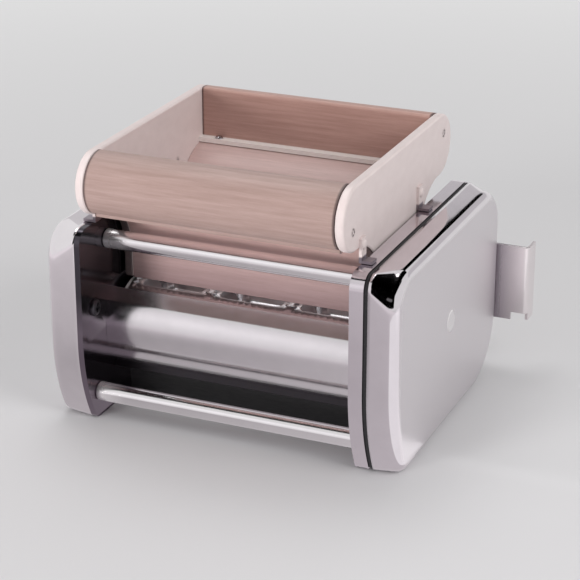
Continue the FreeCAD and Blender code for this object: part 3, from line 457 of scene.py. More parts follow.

# ---------------------------------------------------------------------------------------------
# Cover seal. A black rubber ring fills the joint between the turned edge of the right plate
# and the gear cover, and keeps flour out of the gears. Moulded, and held by the cover's screws.
# Its near-black is painted shade: it fills the dark seam between plate and cover.
# ---------------------------------------------------------------------------------------------

SEAL_SECTION = [  # x and inset from the cover's outline
    (RIGHT_RIM, 0.7), (64.0, 0.5), (64.7, 0.35), (65.4, 0.5), (GEAR_COVER_RIM, 0.7),
    (GEAR_COVER_RIM, 3.0), (RIGHT_RIM, 3.0),
]
seal_rings = [at_x(x, side_profile(inset, RIM_CORNERS)) for x, inset in SEAL_SECTION]


def plain_finish(name, stretch, detail, stops, roughness, relief):
    """A moulded or painted skin: a clouded tone and a fine relief, equally rough all over."""
    material, tree, shader = new_finish(name)
    cloud = object_pattern(tree, "ShaderNodeTexNoise", stretch, Detail=detail).outputs["Fac"]
    tree.links.new(ramp_of(tree, cloud, stops), shader.inputs["Base Color"])
    shader.inputs["Roughness"].default_value = roughness
    raise_skin(tree, shader, [(cloud, relief)])
    return material


# The seal's near-black is painted shade for the dark seam between plate and cover.
seal_rubber = plain_finish(
    "seal_rubber", (400, 400, 400), 5.0,
    [(0.35, (0.008, 0.008, 0.009)), (0.75, (0.02, 0.02, 0.022))], 0.55, 0.00003,
)
seal = new_piece("cover_seal", loft(seal_rings, closed=True))
ease_edges(seal, 0)
hand_over(seal, seal_rubber, "frame", "seal_rubber", "cover_gasket")

# ---------------------------------------------------------------------------------------------
# Tie rods. Four polished steel bars hold the plates apart; each is turned down to a threaded
# end that passes through the plate and takes a hexagon nut inside the cover.
# ---------------------------------------------------------------------------------------------

ROD_PLACES = {
    "front_top_rod": (-43.65, 76.0),
    "front_bottom_rod": (-54.15, 11.5),
    "rear_top_rod": (26.95, 76.0),
    "rear_bottom_rod": (35.35, 11.5),
}
ROD_RADIUS = 4.0
THREAD_RADIUS = 2.5
THREAD_PITCH = 0.8
THREAD_DEPTH = 0.35


def turned(profile, at=(0.0, 0.0), segments=72, closed=False):
    """A lathe-turned form about an X axis through at, from (x, radius) pairs."""
    rings = []
    for x, radius in profile:
        if radius == 0:
            rings.append([(x, *at)])
            continue
        rings.append(at_x(x, arc_points(at, radius, 0, 360, segments)))
    return loft(rings, closed=closed, caps=False)


def thread_run(start, end):
    """The crests and roots of a cut thread, from start to end."""
    count = int(abs(end - start) / THREAD_PITCH)
    run = []
    for step in range(count):
        x = start + (end - start) * (step + 0.5) / count
        half = (end - start) / count / 2
        run += [(x - half * 0.9, THREAD_RADIUS - THREAD_DEPTH), (x, THREAD_RADIUS)]
    return run


# Towards their left ends the rods are painted lighter and less metallic: a painted highlight where
# they would mirror the dark plate.
bright_rod_steel = metal_finish(
    "bright_rod_steel", (0.80, 0.78, 0.79), 0.12, (40, 1500, 1500),
    zone=("X", -44, -57, (0.88, 0.85, 0.86), 0.30, 0.72),
)
for rod_name, place in ROD_PLACES.items():
    profile = [(-65.0, 0), (-65.0, 2.0), (-64.7, 2.2)] + thread_run(-64.6, -60.6)
    profile += [(-60.5, 2.5), (-58.0, 2.5), (-58.0, 3.5), (-57.5, ROD_RADIUS)]
    profile += [(57.5, ROD_RADIUS), (58.0, 3.5), (58.0, 2.5), (60.0, 2.5)]
    profile += thread_run(60.1, 64.1) + [(64.2, 2.2), (64.5, 2.0), (64.5, 0)]
    rod = new_piece(rod_name + "_bar", turned(profile, place, 96))
    ease_edges(rod, 0, angle=28)
    hand_over(rod, bright_rod_steel, "frame", "rod_steel", rod_name)

# ---------------------------------------------------------------------------------------------
# Drum guards and scrapers. Curved bright sheets cover the outside of each drum, with a hem along
# the lower edge and a tab at each end that plugs in its plate; black acetal strips clean the drums.
# The hems and the strips are near-black: painted shade under the drums.
# ---------------------------------------------------------------------------------------------

GUARD_RADIUS = 20.0
GUARD_SHEET = 1.2
GUARD_TOP, GUARD_BOTTOM = 53.0, -55.0
GUARD_TAB = 7.0
FLANGE_START = 33.0  # above this the sheet is flat
FLANGE_FACING = 46.0
HEM_BEND = 0.9
HEM_REACH = 23.6
NIP = -8.35


def grid_sheet(columns, rows, kept):
    """A sheet from a grid: rows[j] is (y, z) and columns[i] is x; kept(i, j) keeps a cell."""
    points = [(x, *row) for x in columns for row in rows]
    height = len(rows)
    faces = []
    for i in range(len(columns) - 1):
        for j in range(height - 1):
            if kept(i, j):
                corner = i * height + j
                faces.append((corner, corner + height, corner + height + 1, corner + 1))
    return points, faces


def drop_loose(piece):
    """Removes points that carry no face."""
    form = bmesh.new()
    form.from_mesh(piece.data)
    loose = [vert for vert in form.verts if not vert.link_faces]
    bmesh.ops.delete(form, geom=loose, context="VERTS")
    form.to_mesh(piece.data)
    form.free()


def thicken(piece, thickness, outward, ease):
    """Gives an open sheet its thickness on the side that outward points to, then eases edges."""
    mesh = piece.data
    face = max(mesh.polygons, key=lambda item: item.area)
    away = outward(face.center)
    sheet = piece.modifiers.new("sheet", "SOLIDIFY")
    sheet.thickness = thickness * MM
    sheet.offset = 1 if face.normal.dot(away) > 0 else -1
    sheet.use_even_offset = True
    ease_edges(piece, ease)


def guard_rows():
    """(radius, angle) rows down the guard: flat flange, curve, hem bend and hem lip."""
    rows = []
    bend_turn = math.degrees(HEM_BEND / GUARD_RADIUS)
    angles = [GUARD_TOP, 40, FLANGE_START, 20, 14, GUARD_TAB, 0]
    angles += [-GUARD_TAB, -14, -22, -30, -38, -46]
    fine = []
    for upper, lower in zip(angles, angles[1:] + [GUARD_BOTTOM + bend_turn]):
        count = max(2, int((upper - lower) / 1.6))
        fine += [upper + (lower - upper) * step / count for step in range(count)]
    fine.append(GUARD_BOTTOM + bend_turn)
    flat = GUARD_RADIUS * math.cos(math.radians(FLANGE_FACING - FLANGE_START))
    for angle in fine:
        on_flange = flat / math.cos(math.radians(angle - FLANGE_FACING))
        rows.append((on_flange if angle > FLANGE_START else GUARD_RADIUS, angle))
    for step in range(1, 5):
        turn = math.radians(90 * step / 4)
        out = HEM_BEND * (1 - math.cos(turn))
        along = bend_turn * math.sin(turn)
        rows.append((GUARD_RADIUS + out, GUARD_BOTTOM + bend_turn - along))
    rows.append(((GUARD_RADIUS + HEM_BEND + HEM_REACH) / 2, GUARD_BOTTOM))
    rows.append((HEM_REACH, GUARD_BOTTOM))
    return rows


guard_bright = metal_finish("guard_bright", (0.74, 0.71, 0.73), 0.18, (25, 1500, 1500), 0.000001)
# The hem is painted near-black: painted shade along the guard's lower edge.
guard_hem = metal_finish("guard_hem", (0.045, 0.04, 0.045), 0.30, (25, 1500, 1500))


def drum_guard(name, axis, side, stands_for):
    """A guard with its tabs; side is -1 before the front drum and +1 behind the rear drum."""
    rows = guard_rows()
    columns = [LEFT_OUTSIDE, -PLATE_INNER + 0.02, -20, 20, PLATE_INNER - 0.02, RIGHT_WEB]
    places = []
    for radius, angle in rows:
        turn = math.radians(angle)
        out, up = radius * math.cos(turn), radius * math.sin(turn)
        places.append((axis + side * out, AXIS_HEIGHT + up))

    def kept(i, j):
        if 0 < i < len(columns) - 2:
            return True
        upper, lower = rows[j], rows[j + 1]
        on_curve = upper[0] == lower[0] == GUARD_RADIUS
        return on_curve and upper[1] <= GUARD_TAB + 0.01 and lower[1] >= -GUARD_TAB - 0.01

    guard = new_piece(name, grid_sheet(columns, places, kept))
    drop_loose(guard)
    middle = Vector((0, axis * MM, AXIS_HEIGHT * MM))

    def on_hem(face):
        away = face.center.yz - middle.yz
        return int(away.length > (GUARD_RADIUS + 0.1) * MM and away.y < 0)

    dress(guard, (guard_bright, guard_hem), on_hem)
    thicken(guard, GUARD_SHEET, lambda at: Vector((0, at.y, at.z)) - middle, 0.3)
    hand_over(guard, None, "frame", "guard_steel", stands_for)


drum_guard("front_guard_sheet", FRONT_AXIS, -1, "front_guard")
drum_guard("rear_guard_sheet", REAR_AXIS, 1, "rear_guard")

# The scraper strips are near-black: painted shade in the dark band under the drums.
scraper_black = plain_finish(
    "scraper_black", (60, 500, 500), 4.0,
    [(0.3, (0.010, 0.010, 0.011)), (0.7, (0.022, 0.021, 0.022))], 0.42, 0.00002,
)
for strip in ("front_scraper", "rear_scraper"):
    blade = smooth_copy(strip, 0.2, strip + "_strip")
    hand_over(blade, scraper_black, "frame", "scraper_black", strip)

# ---------------------------------------------------------------------------------------------
# Brackets. Folded sheet-steel arms behind each plate, two bends each, that clip in the side
# of the pasta machine. Riveted to the inside of the plates, and chrome plated.
# ---------------------------------------------------------------------------------------------

BRACKET_LOW, BRACKET_HIGH = 22.5, 57.0
BRACKET_NOTCH = 26.0
NOTCH_START = 84.4
LIP_START = 62.8
BRACKET_SHEET = 1.5


def bent_path(corners, radius, steps):
    """A polyline in plan with each inner corner turned on a bend radius."""
    path = [corners[0]]
    for before, corner, after in zip(corners, corners[1:], corners[2:]):
        back = (Vector(before) - Vector(corner)).normalized()
        ahead = (Vector(after) - Vector(corner)).normalized()
        for step in range(steps + 1):
            turn = math.radians(90 * step / steps)
            swing = back * (1 - math.sin(turn)) + ahead * (1 - math.cos(turn))
            path.append(tuple(Vector(corner) + swing * radius))
    path.append(corners[-1])
    return path


ARM_SHADE = (0.35, 0.315, 0.345)
arm_chrome = {
    side: metal_finish(
        f"{name}_arm_chrome", (0.92, 0.86, 0.87), 0.20, (900, 900, 60),
        zone=("X", side * 91.2, side * 78, ARM_SHADE, 0.28, 1.0),
    )
    for side, name in ((-1, "left"), (1, "right"))
}
for side, node in ((-1, "left_bracket"), (1, "right_bracket")):
    plan = bent_path([(56.5, 44.35), (56.5, 62.35), (90.45, 62.35)], 2.0, 6)
    plan = plan[:-1] + bent_path([(84.5, 62.35), (90.45, 62.35), (90.45, 70.3)], 0.6, 5)
    heights = [BRACKET_LOW, BRACKET_NOTCH, 34.0, 45.0, BRACKET_HIGH]
    points = [(x * side, y, z) for x, y in plan for z in heights]
    faces = []
    for i in range(len(plan) - 1):
        for j in range(len(heights) - 1):
            past_notch = (plan[i][0] + plan[i + 1][0]) / 2 > NOTCH_START
            if j > 0 or not past_notch or plan[i][1] >= LIP_START:
                corner = i * len(heights) + j
                step = len(heights)
                faces.append((corner, corner + step, corner + step + 1, corner + 1))
    arm = new_piece(node + "_arm", (points, faces))
    drop_loose(arm)
    thicken(arm, BRACKET_SHEET, lambda at, s=side: Vector((s, -1, 0)), 0.25)
    hand_over(arm, arm_chrome[side], "frame", "polished_chrome", node)

# ---------------------------------------------------------------------------------------------
# Screws, nuts, rivets and studs of the frame. Pan-head screws go through the plates into tapped
# studs on the covers, hexagon nuts hold the rods, and domed rivets hold the brackets.
# ---------------------------------------------------------------------------------------------


def set_input(modifier, name, value):
    """Sets a tree's named input on its modifier, by the socket's identifier."""
    for item in modifier.node_group.interface.items_tree:
        if item.item_type == "SOCKET" and item.in_out == "INPUT" and item.name == name:
            modifier[item.identifier] = value


def new_tree(name, inputs):
    """A geometry tree with named inputs; returns it with its input and output nodes."""
    tree = bpy.data.node_groups.new(name, "GeometryNodeTree")
    tree.interface.new_socket("Geometry", in_out="INPUT", socket_type="NodeSocketGeometry")
    for label, kind in inputs:
        tree.interface.new_socket(label, in_out="INPUT", socket_type="NodeSocket" + kind)
    tree.interface.new_socket("Geometry", in_out="OUTPUT", socket_type="NodeSocketGeometry")
    return tree, tree.nodes.new("NodeGroupInput"), tree.nodes.new("NodeGroupOutput")


def fastener_tree():
    """Puts the pattern at each marked place, turned as the place says and a little at random."""
    inputs = [("Places", "Object"), ("Turn Spread", "Float"), ("Seed", "Int")]
    tree, start, end = new_tree("fasteners_at_places", inputs + [("Finish", "Material")])
    places = tree.nodes.new("GeometryNodeObjectInfo")
    facing = add_node(tree, "GeometryNodeInputNamedAttribute", data_type="FLOAT_VECTOR")
    facing.inputs["Name"].default_value = "facing"
    as_turn = tree.nodes.new("FunctionNodeEulerToRotation")
    setting = tree.nodes.new("GeometryNodeInstanceOnPoints")
    chance = add_node(tree, "FunctionNodeRandomValue", data_type="FLOAT")
    spin = tree.nodes.new("ShaderNodeCombineXYZ")
    turning = tree.nodes.new("GeometryNodeRotateInstances")
    real = tree.nodes.new("GeometryNodeRealizeInstances")
    skin = tree.nodes.new("GeometryNodeSetMaterial")
    link = tree.links.new
    link(start.outputs["Places"], places.inputs["Object"])
    link(places.outputs["Geometry"], setting.inputs["Points"])
    link(start.outputs["Geometry"], setting.inputs["Instance"])
    link(facing.outputs["Attribute"], as_turn.inputs["Euler"])
    link(as_turn.outputs["Rotation"], setting.inputs["Rotation"])
    spread = next(s for s in chance.inputs if s.name == "Max" and s.type == "VALUE")
    link(start.outputs["Turn Spread"], spread)
    link(start.outputs["Seed"], chance.inputs["Seed"])
    drawn = next(s for s in chance.outputs if s.type == "VALUE")
    link(drawn, spin.inputs["X"])
    link(setting.outputs["Instances"], turning.inputs["Instances"])
    link(spin.outputs["Vector"], turning.inputs["Rotation"])
    link(turning.outputs["Instances"], real.inputs["Geometry"])
    link(real.outputs["Geometry"], skin.inputs["Geometry"])
    link(start.outputs["Finish"], skin.inputs["Material"])
    link(skin.outputs["Geometry"], end.inputs["Geometry"])
    return tree


FASTENERS = fastener_tree()


def settle(piece):
    """Replaces a piece's mesh by what its modifiers make, and removes them."""
    bpy.context.view_layer.update()
    graph = bpy.context.evaluated_depsgraph_get()
    mesh = bpy.data.meshes.new_from_object(piece.evaluated_get(graph), depsgraph=graph)
    piece.modifiers.clear()
    piece.data = mesh


def set_out(name, shapes, places, finish, body, node, spread=0.0, seed=1):
    """Fasteners of one pattern at (x, y, z, facing): facing is an Euler turn of a +X head."""
    piece = new_piece(name, *shapes)
    ease_edges(piece, 0, angle=30)
    marks = bpy.data.meshes.new(name + "_places")
    marks.from_pydata([tuple(c * MM for c in place[:3]) for place in places], [], [])
    turns = marks.attributes.new("facing", "FLOAT_VECTOR", "POINT")
    for index, place in enumerate(places):
        turns.data[index].vector = place[3]
    marker = bpy.data.objects.new(name + "_places", marks)
    bpy.context.scene.collection.objects.link(marker)
    setting = piece.modifiers.new("set out", "NODES")
    setting.node_group = FASTENERS
    set_input(setting, "Places", marker)
    set_input(setting, "Turn Spread", spread)
    set_input(setting, "Seed", seed)
    set_input(setting, "Finish", finish)
    settle(piece)
    bpy.data.objects.remove(marker)
    hand_over(piece, None, body, "fastener_steel", node)


TO_RIGHT = (0.0, 0.0, 0.0)
TO_LEFT = (0.0, 0.0, math.pi)
UPWARD = (0.0, -math.pi / 2, 0.0)
STUD_PLACES = [(-56.25, 49.9), (47.55, 68.8), (-8.35, 11.5)]
RIVET_PLACES = [(52.35, 31.125), (52.35, 48.375)]

screw_steel = metal_finish("screw_steel", (0.50, 0.49, 0.51), 0.26, (700, 700, 700))


def round_rim(radius):
    """A circle about the X axis with as many points as the fasteners' other rings."""
    return arc_points((0.0, 0.0), radius, 0, 360, 48)


def cross_recess(radius):
    """The outline of a four-armed recess in the head of a screw."""
    width = radius * 0.16
    reach = radius * 0.58
    outline = []
    for quarter in range(4):
        turn = math.radians(90 * quarter)
        for along, across in ((width, -width), (reach, -width), (reach, width)):
            y = along * math.cos(turn) - across * math.sin(turn)
            z = along * math.sin(turn) + across * math.cos(turn)
            outline.append((y, z))
    return outline


def screw_shape(radius, height, shank, length):
    """A pan-head screw: head towards +X above x = 0 with a cross recess, shank below."""
    outline, depth = cross_recess(radius), height * 0.55
    sides = []
    for index, (y, z) in enumerate(outline):
        after = outline[(index + 1) % len(outline)]
        for step in range(4):
            share = step / 4
            sides.append((y + (after[0] - y) * share, z + (after[1] - z) * share))
    rim = [Vector(point).normalized() for point in sides]
    rings = [[(-length, 0.0, 0.0)]]
    rings.append(at_x(-length, [tuple(p * shank * 0.7) for p in rim]))
    rings.append(at_x(-length + 0.5, [tuple(p * shank) for p in rim]))
    rings.append(at_x(0, [tuple(p * shank) for p in rim]))
    rings.append(at_x(0, [tuple(p * radius) for p in rim]))
    for share, rise in ((1.0, 0.4), (0.96, 0.68), (0.87, 0.88), (0.74, 0.98), (0.66, 1.0)):
        rings.append(at_x(height * rise, [tuple(p * radius * share) for p in rim]))
    rings.append(at_x(height, sides))
    rings.append(at_x(height - depth, [(y * 0.86, z * 0.86) for y, z in sides]))
    rings.append([(height - depth * 1.2, 0.0, 0.0)])
    return loft(rings, caps=False)


# The cover screws inside the plates are near-black: painted shade, matching the plates' painted
# shade.
screw_painted_shade = metal_finish("screw_painted_shade", (0.085, 0.08, 0.09), 0.30, (700, 700, 700))
screw_places = [(-PLATE_INNER, *at, TO_RIGHT) for at in STUD_PLACES]
screw_places += [(PLATE_INNER, *at, TO_LEFT) for at in STUD_PLACES]
set_out(
    "cover_screw_set", [screw_shape(3.5, 1.6, 2.0, 8.0)], screw_places,
    screw_painted_shade, "frame", "cover_screws", spread=1.5, seed=3,
)


def nut_shape(width, height, bore):
    """A hexagon nut from x = 0 towards +X with chamfered corners and a countersunk bore."""
    rings = []
    for x, chamfered in ((0.0, True), (0.45, False), (height - 0.45, False), (height, True)):
        ring = []
        for step in range(48):
            turn = math.radians(7.5 * step)
            flat = width / 2 / math.cos((turn % math.radians(60)) - math.radians(30))
            reach = width / 2 if chamfered else flat
            ring.append((reach * math.cos(turn), reach * math.sin(turn)))
        rings.append(at_x(x, ring))
    rings.append(at_x(height, round_rim(bore + 0.4)))
    rings.append(at_x(height - 0.4, round_rim(bore)))
    rings.append(at_x(0.4, round_rim(bore)))
    rings.append(at_x(0.0, round_rim(bore + 0.4)))
    return loft(rings, closed=True)


nut_places = [(LEFT_OUTSIDE, *at, TO_LEFT) for at in ROD_PLACES.values()]
nut_places += [(RIGHT_WEB, *at, TO_RIGHT) for at in ROD_PLACES.values()]
set_out(
    "rod_nut_set", [nut_shape(8.0, 4.0, 2.5)], nut_places,
    screw_steel, "frame", "rod_nuts", spread=1.0, seed=5,
)


def dome(base, radius, height):
    """(x, radius) pairs of a rivet's or pin's domed head, from its rim to its crown."""
    turns = [math.radians(90 * step / 6) for step in range(6)]
    run = [(base + height * math.sin(turn), radius * math.cos(turn)) for turn in turns]
    return run + [(base + height, 0)]


BRACKET_INSIDE = 56.5
RIVET_HEAD, RIVET_RISE, RIVET_SHANK = 3.5, 1.2, 2.0


def rivet(grip):
    """(x, radius) pairs of a rivet with a domed head at each end of its grip."""
    near = [(-x, radius) for x, radius in dome(0, RIVET_HEAD, RIVET_RISE)[::-1]]
    return near + [(0, RIVET_SHANK), (grip, RIVET_SHANK)] + dome(grip, RIVET_HEAD, RIVET_RISE)


rivets = []
for place in RIVET_PLACES:
    for sense, grip in ((1, 3.5), (-1, 4.0)):
        profile = [(sense * (x + BRACKET_INSIDE), radius) for x, radius in rivet(grip)]
        rivets.append(turned(profile, place, 40))
bracket_rivets = new_piece("bracket_rivet_set", *rivets)
ease_edges(bracket_rivets, 0, angle=30)
hand_over(bracket_rivets, screw_steel, "frame", "fastener_steel", "bracket_rivets")

for node in ("gear_cover_studs", "left_cover_studs"):
    studs = smooth_copy(node, 0.2, node + "_turned")
    hand_over(studs, screw_steel, "frame", "fastener_steel", node)

# ---------------------------------------------------------------------------------------------
# Bushes. Flanged bearings of sintered bronze, pressed in the plates from inside, in which the
# two shafts turn.
# ---------------------------------------------------------------------------------------------

bush_bronze = metal_finish("bush_bronze", (0.52, 0.33, 0.16), 0.38, (900, 900, 900), 0.00001)
for end, axis in (("front", FRONT_AXIS), ("rear", REAR_AXIS)):
    for hand, sense, outer in (("left", -1, 61.5), ("right", 1, 61.0)):
        profile = [(56.5, 4.3), (56.5, 7.6), (56.9, 8.0), (58.0, 8.0), (58.0, 6.0)]
        profile += [(outer - 0.4, 6.0), (outer, 5.6), (outer, 4.3), (outer - 0.26, 4.04)]
        profile += [(56.76, 4.04)]
        profile = [(x * sense, radius) for x, radius in profile]
        node = f"{end}_{hand}_bush"
        bush = new_piece(node + "_bearing", turned(profile, (axis, AXIS_HEIGHT), 64, closed=True))
        ease_edges(bush, 0, angle=28)
        hand_over(bush, bush_bronze, "frame", "bush_bronze", node)

# ---------------------------------------------------------------------------------------------
# Drums. Two cast aluminium rollers with nine square pockets each, between zigzag ridges that
# crimp and cut the dough sheets. Machined all over and pressed on their shafts.
# ---------------------------------------------------------------------------------------------

RIDGE_RADIUS = 17.15
LAND_RADIUS = 16.4
FLOOR_RADIUS = 11.4
CELL_PITCH = 36.0
CELL_HALF = CELL_PITCH / 2
CELLS_ALONG = 3
CELLS_ROUND = 3
DRUM_HALF = 55.5
TEETH_A_SIDE = 12
POINTS_A_TOOTH = 4
POINTS_ROUND = TEETH_A_SIDE * POINTS_A_TOOTH * CELLS_ROUND
ZIGZAG = 0.75
SHAFT_RADIUS = 4.0


def ring_tree():
    """Repeats one cell along the drum and round it, and welds the cells to one skin."""
    inputs = [("Cells Along", "Int"), ("Cells Round", "Int"), ("Pitch", "Float")]
    tree, start, end = new_tree("cells_round_an_axis", inputs + [("Finish", "Material")])
    link = tree.links.new

    def figure(operation, first, second=None):
        node = add_node(tree, "ShaderNodeMath", operation=operation)
        for socket, value in zip(node.inputs, (first, second)):
            if isinstance(value, (int, float)):
                socket.default_value = value
            elif value is not None:
                link(value, socket)
        return node.outputs[0]

    along, around = start.outputs["Cells Along"], start.outputs["Cells Round"]
    line = tree.nodes.new("GeometryNodeMeshLine")
    link(figure("MULTIPLY", along, around), line.inputs["Count"])
    number = tree.nodes.new("GeometryNodeInputIndex").outputs[0]
    column = figure("MODULO", number, along)
    row = figure("FLOOR", figure("DIVIDE", number, along))
    middle = figure("DIVIDE", figure("SUBTRACT", along, 1), 2)
    across = figure("MULTIPLY", figure("SUBTRACT", column, middle), start.outputs["Pitch"])
    turn = figure("DIVIDE", figure("MULTIPLY", row, 2 * math.pi), around)
    where = tree.nodes.new("ShaderNodeCombineXYZ")
    link(across, where.inputs["X"])
    spin = tree.nodes.new("ShaderNodeCombineXYZ")
    link(turn, spin.inputs["X"])
    move = tree.nodes.new("GeometryNodeSetPosition")
    link(line.outputs["Mesh"], move.inputs["Geometry"])
    link(where.outputs["Vector"], move.inputs["Position"])
    as_turn = tree.nodes.new("FunctionNodeEulerToRotation")
    link(spin.outputs["Vector"], as_turn.inputs["Euler"])
    setting = tree.nodes.new("GeometryNodeInstanceOnPoints")
    link(move.outputs["Geometry"], setting.inputs["Points"])
    link(start.outputs["Geometry"], setting.inputs["Instance"])
    link(as_turn.outputs["Rotation"], setting.inputs["Rotation"])
    real = tree.nodes.new("GeometryNodeRealizeInstances")
    link(setting.outputs["Instances"], real.inputs["Geometry"])
    weld = tree.nodes.new("GeometryNodeMergeByDistance")
    weld.inputs["Distance"].default_value = 0.00001
    link(real.outputs["Geometry"], weld.inputs["Geometry"])
    skin = tree.nodes.new("GeometryNodeSetMaterial")
    link(weld.outputs["Geometry"], skin.inputs["Geometry"])
    link(start.outputs["Finish"], skin.inputs["Material"])
    link(skin.outputs["Geometry"], end.inputs["Geometry"])
    return tree


ROUND_AN_AXIS = ring_tree()


def repeated(piece, along, around, pitch, finish):
    """Runs the repeating tree on a cell and keeps its result as the piece's mesh."""
    setting = piece.modifiers.new("repeat", "NODES")
    setting.node_group = ROUND_AN_AXIS
    set_input(setting, "Cells Along", along)
    set_input(setting, "Cells Round", around)
    set_input(setting, "Pitch", pitch * MM)
    set_input(setting, "Finish", finish)
    settle(piece)


def square_ring(half, corner, wobble=0.0):
    """Points round a square cell, (u, w) in mm from its middle, with rounded corners."""
    count = TEETH_A_SIDE * POINTS_A_TOOTH
    ring = []
    for quarter in range(4):
        turn = math.radians(90 * quarter)
        for step in range(count):
            share = step / count * 2 - 1
            phase = (step % POINTS_A_TOOTH) / POINTS_A_TOOTH
            tooth = abs(phase * 2 - 1) * 2 - 1
            u, w = half + wobble * tooth * min(1, (1 - abs(share)) * 6), half * share
            if corner > 0:
                flat = half - corner
                past = abs(w) - flat
                if past > 0:
                    slide = past / corner * math.pi / 4
                    w = math.copysign(flat + corner * math.sin(slide), w)
                    u = flat + corner * math.cos(slide)
            swing, rise = math.cos(turn), math.sin(turn)
            ring.append((u * swing - w * rise, u * rise + w * swing))
    return ring


def wrap(ring, radius):
    """A cell ring laid on the drum at a radius; w becomes an angle about the X axis."""
    full = 360 / CELLS_ROUND / 2
    placed = []
    for u, w in ring:
        angle = math.radians(w / CELL_HALF * full)
        placed.append((u, radius * math.cos(angle), radius * math.sin(angle)))
    return placed


CELL_STEPS = [  # half width, corner radius, distance from the axis, depth of the zigzag
    (CELL_HALF, 0, RIDGE_RADIUS, 0), (17.3, 0, RIDGE_RADIUS, 0), (16.6, 0, 17.12, ZIGZAG),
    (16.4, 0, 16.95, ZIGZAG), (16.15, 0, 16.5, ZIGZAG), (15.9, 0.5, 16.42, 0.5),
    (15.2, 1.5, LAND_RADIUS, 0), (14.3, 2.2, LAND_RADIUS, 0), (13.95, 2.6, 16.32, 0),
    (13.8, 2.7, 16.1, 0), (13.6, 3.0, 14.5, 0), (13.35, 3.2, 12.6, 0), (13.1, 3.4, 11.9, 0),
    (12.6, 3.6, 11.55, 0), (12.0, 3.8, 11.42, 0), (10.0, 3.0, FLOOR_RADIUS, 0),
    (7.0, 2.0, FLOOR_RADIUS, 0), (3.5, 1.0, FLOOR_RADIUS, 0),
]
cell_rings = []
for half, corner, radius, wobble in CELL_STEPS:
    cell_rings.append(wrap(square_ring(half, corner, wobble), radius))
cell_rings.append([(0.0, FLOOR_RADIUS, 0.0)])

drum_metal = metal_finish("drum_metal", (0.70, 0.68, 0.70), 0.30, (900, 900, 900), 0.000003)


def drum_end(sense):
    """The end ridge, its chamfer and the machined end face, down to the shaft."""
    steps = [(54.0, RIDGE_RADIUS), (55.1, RIDGE_RADIUS), (DRUM_HALF, 16.75), (DRUM_HALF, 15.0)]
    steps += [(55.3, 14.6), (55.3, 9.0), (DRUM_HALF, 8.6), (DRUM_HALF, SHAFT_RADIUS)]
    return turned([(x * sense, radius) for x, radius in steps], segments=POINTS_ROUND)


def engraved_drum(name, axis, first_turn, body, node):
    """Nine cells, two ends and a bore, turned so that ridges meet at the nip."""
    drum = new_piece(name, loft(cell_rings, caps=False), recalc=False)
    repeated(drum, CELLS_ALONG, CELLS_ROUND, CELL_PITCH, drum_metal)
    bore = [(-DRUM_HALF, SHAFT_RADIUS), (DRUM_HALF, SHAFT_RADIUS)]
    bore = turned(bore, segments=POINTS_ROUND)
    ends = new_piece(name + "_ends", drum_end(1), drum_end(-1), bore)
    form = bmesh.new()
    form.from_mesh(drum.data)
    form.from_mesh(ends.data)
    bmesh.ops.remove_doubles(form, verts=form.verts, dist=0.00001)
    bmesh.ops.recalc_face_normals(form, faces=form.faces)
    place = Matrix.Translation((0, axis * MM, AXIS_HEIGHT * MM))
    place = place @ Matrix.Rotation(first_turn, 4, "X")
    bmesh.ops.transform(form, matrix=place, verts=form.verts)
    form.to_mesh(drum.data)
    form.free()
    bpy.data.objects.remove(ends)
    ease_edges(drum, 0, angle=42)
    hand_over(drum, None, body, "drum_metal", node)


engraved_drum(
    "front_drum_engraved", FRONT_AXIS, math.radians(60), "front_drum", "front_drum_roller"
)
engraved_drum("rear_drum_engraved", REAR_AXIS, 0.0, "rear_drum", "rear_drum_roller")

# ---------------------------------------------------------------------------------------------
# Shafts, clips and crank socket. Ground steel shafts with grooves for spring clips; a slotted
# sleeve pressed on the left end of the drive shaft takes the crank.
# ---------------------------------------------------------------------------------------------

shaft_steel = metal_finish("shaft_steel", (0.60, 0.59, 0.60), 0.16, (900, 60, 60))
clip_spring_steel = metal_finish("clip_spring_steel", (0.16, 0.15, 0.17), 0.35, (600, 600, 600))
for node, body, finish, slot, ease in (
    ("drive_shaft", "front_drum", shaft_steel, "shaft_steel", 0.25),
    ("rear_shaft", "rear_drum", shaft_steel, "shaft_steel", 0.25),
    ("crank_socket", "front_drum", shaft_steel, "shaft_steel", 0.35),
    ("drive_shaft_clip", "front_drum", clip_spring_steel, "fastener_steel", 0.12),
    ("rear_shaft_clips", "rear_drum", clip_spring_steel, "fastener_steel", 0.12),
):
    hand_over(smooth_copy(node, ease), finish, body, slot, node)

# ---------------------------------------------------------------------------------------------
# Gears. Two equal hobbed steel spur gears under the right cover make the drums turn together;
# each is pressed on its shaft and kept there by a spring clip.
# ---------------------------------------------------------------------------------------------

gear_steel = metal_finish("gear_steel", (0.36, 0.35, 0.35), 0.30, (120, 900, 900), 0.000012)
for node, body in (("drive_gear", "front_drum"), ("driven_gear", "rear_drum")):
    hand_over(smooth_copy(node, 0.15), gear_steel, body, "gear_steel", node)

# ---------------------------------------------------------------------------------------------
# Hopper. Two bull-nosed boards and two end cheeks make a frame that stands on the plates, and
# curved walls below it lead the filling to the drums. Wood-grained boards, cream moulded cheeks.
# ---------------------------------------------------------------------------------------------

HOPPER_TOP = 118.6
NOSE = (-57.05, 105.3)
NOSE_RADIUS = 13.3
BOARD_SEAT = 95.0
BOARD_INNER = -55.05
BOARD_EASE = 1.5
CHEEK_INNER = 53.0
CHEEK_OUTER = 57.0
FUNNEL_AXIS = (-55.85, 67.0)
FUNNEL_UNDER = 25.0
FUNNEL_OVER = 28.0
FUNNEL_BOTTOM = 54.75
WALL_LIP = FUNNEL_AXIS[1] + FUNNEL_UNDER
TONGUE_TOP = 91.5


END_SHADE_START = 51.9  # how far out the painted shade at the ends of a board begins
END_SHADE_FADE = 0.7


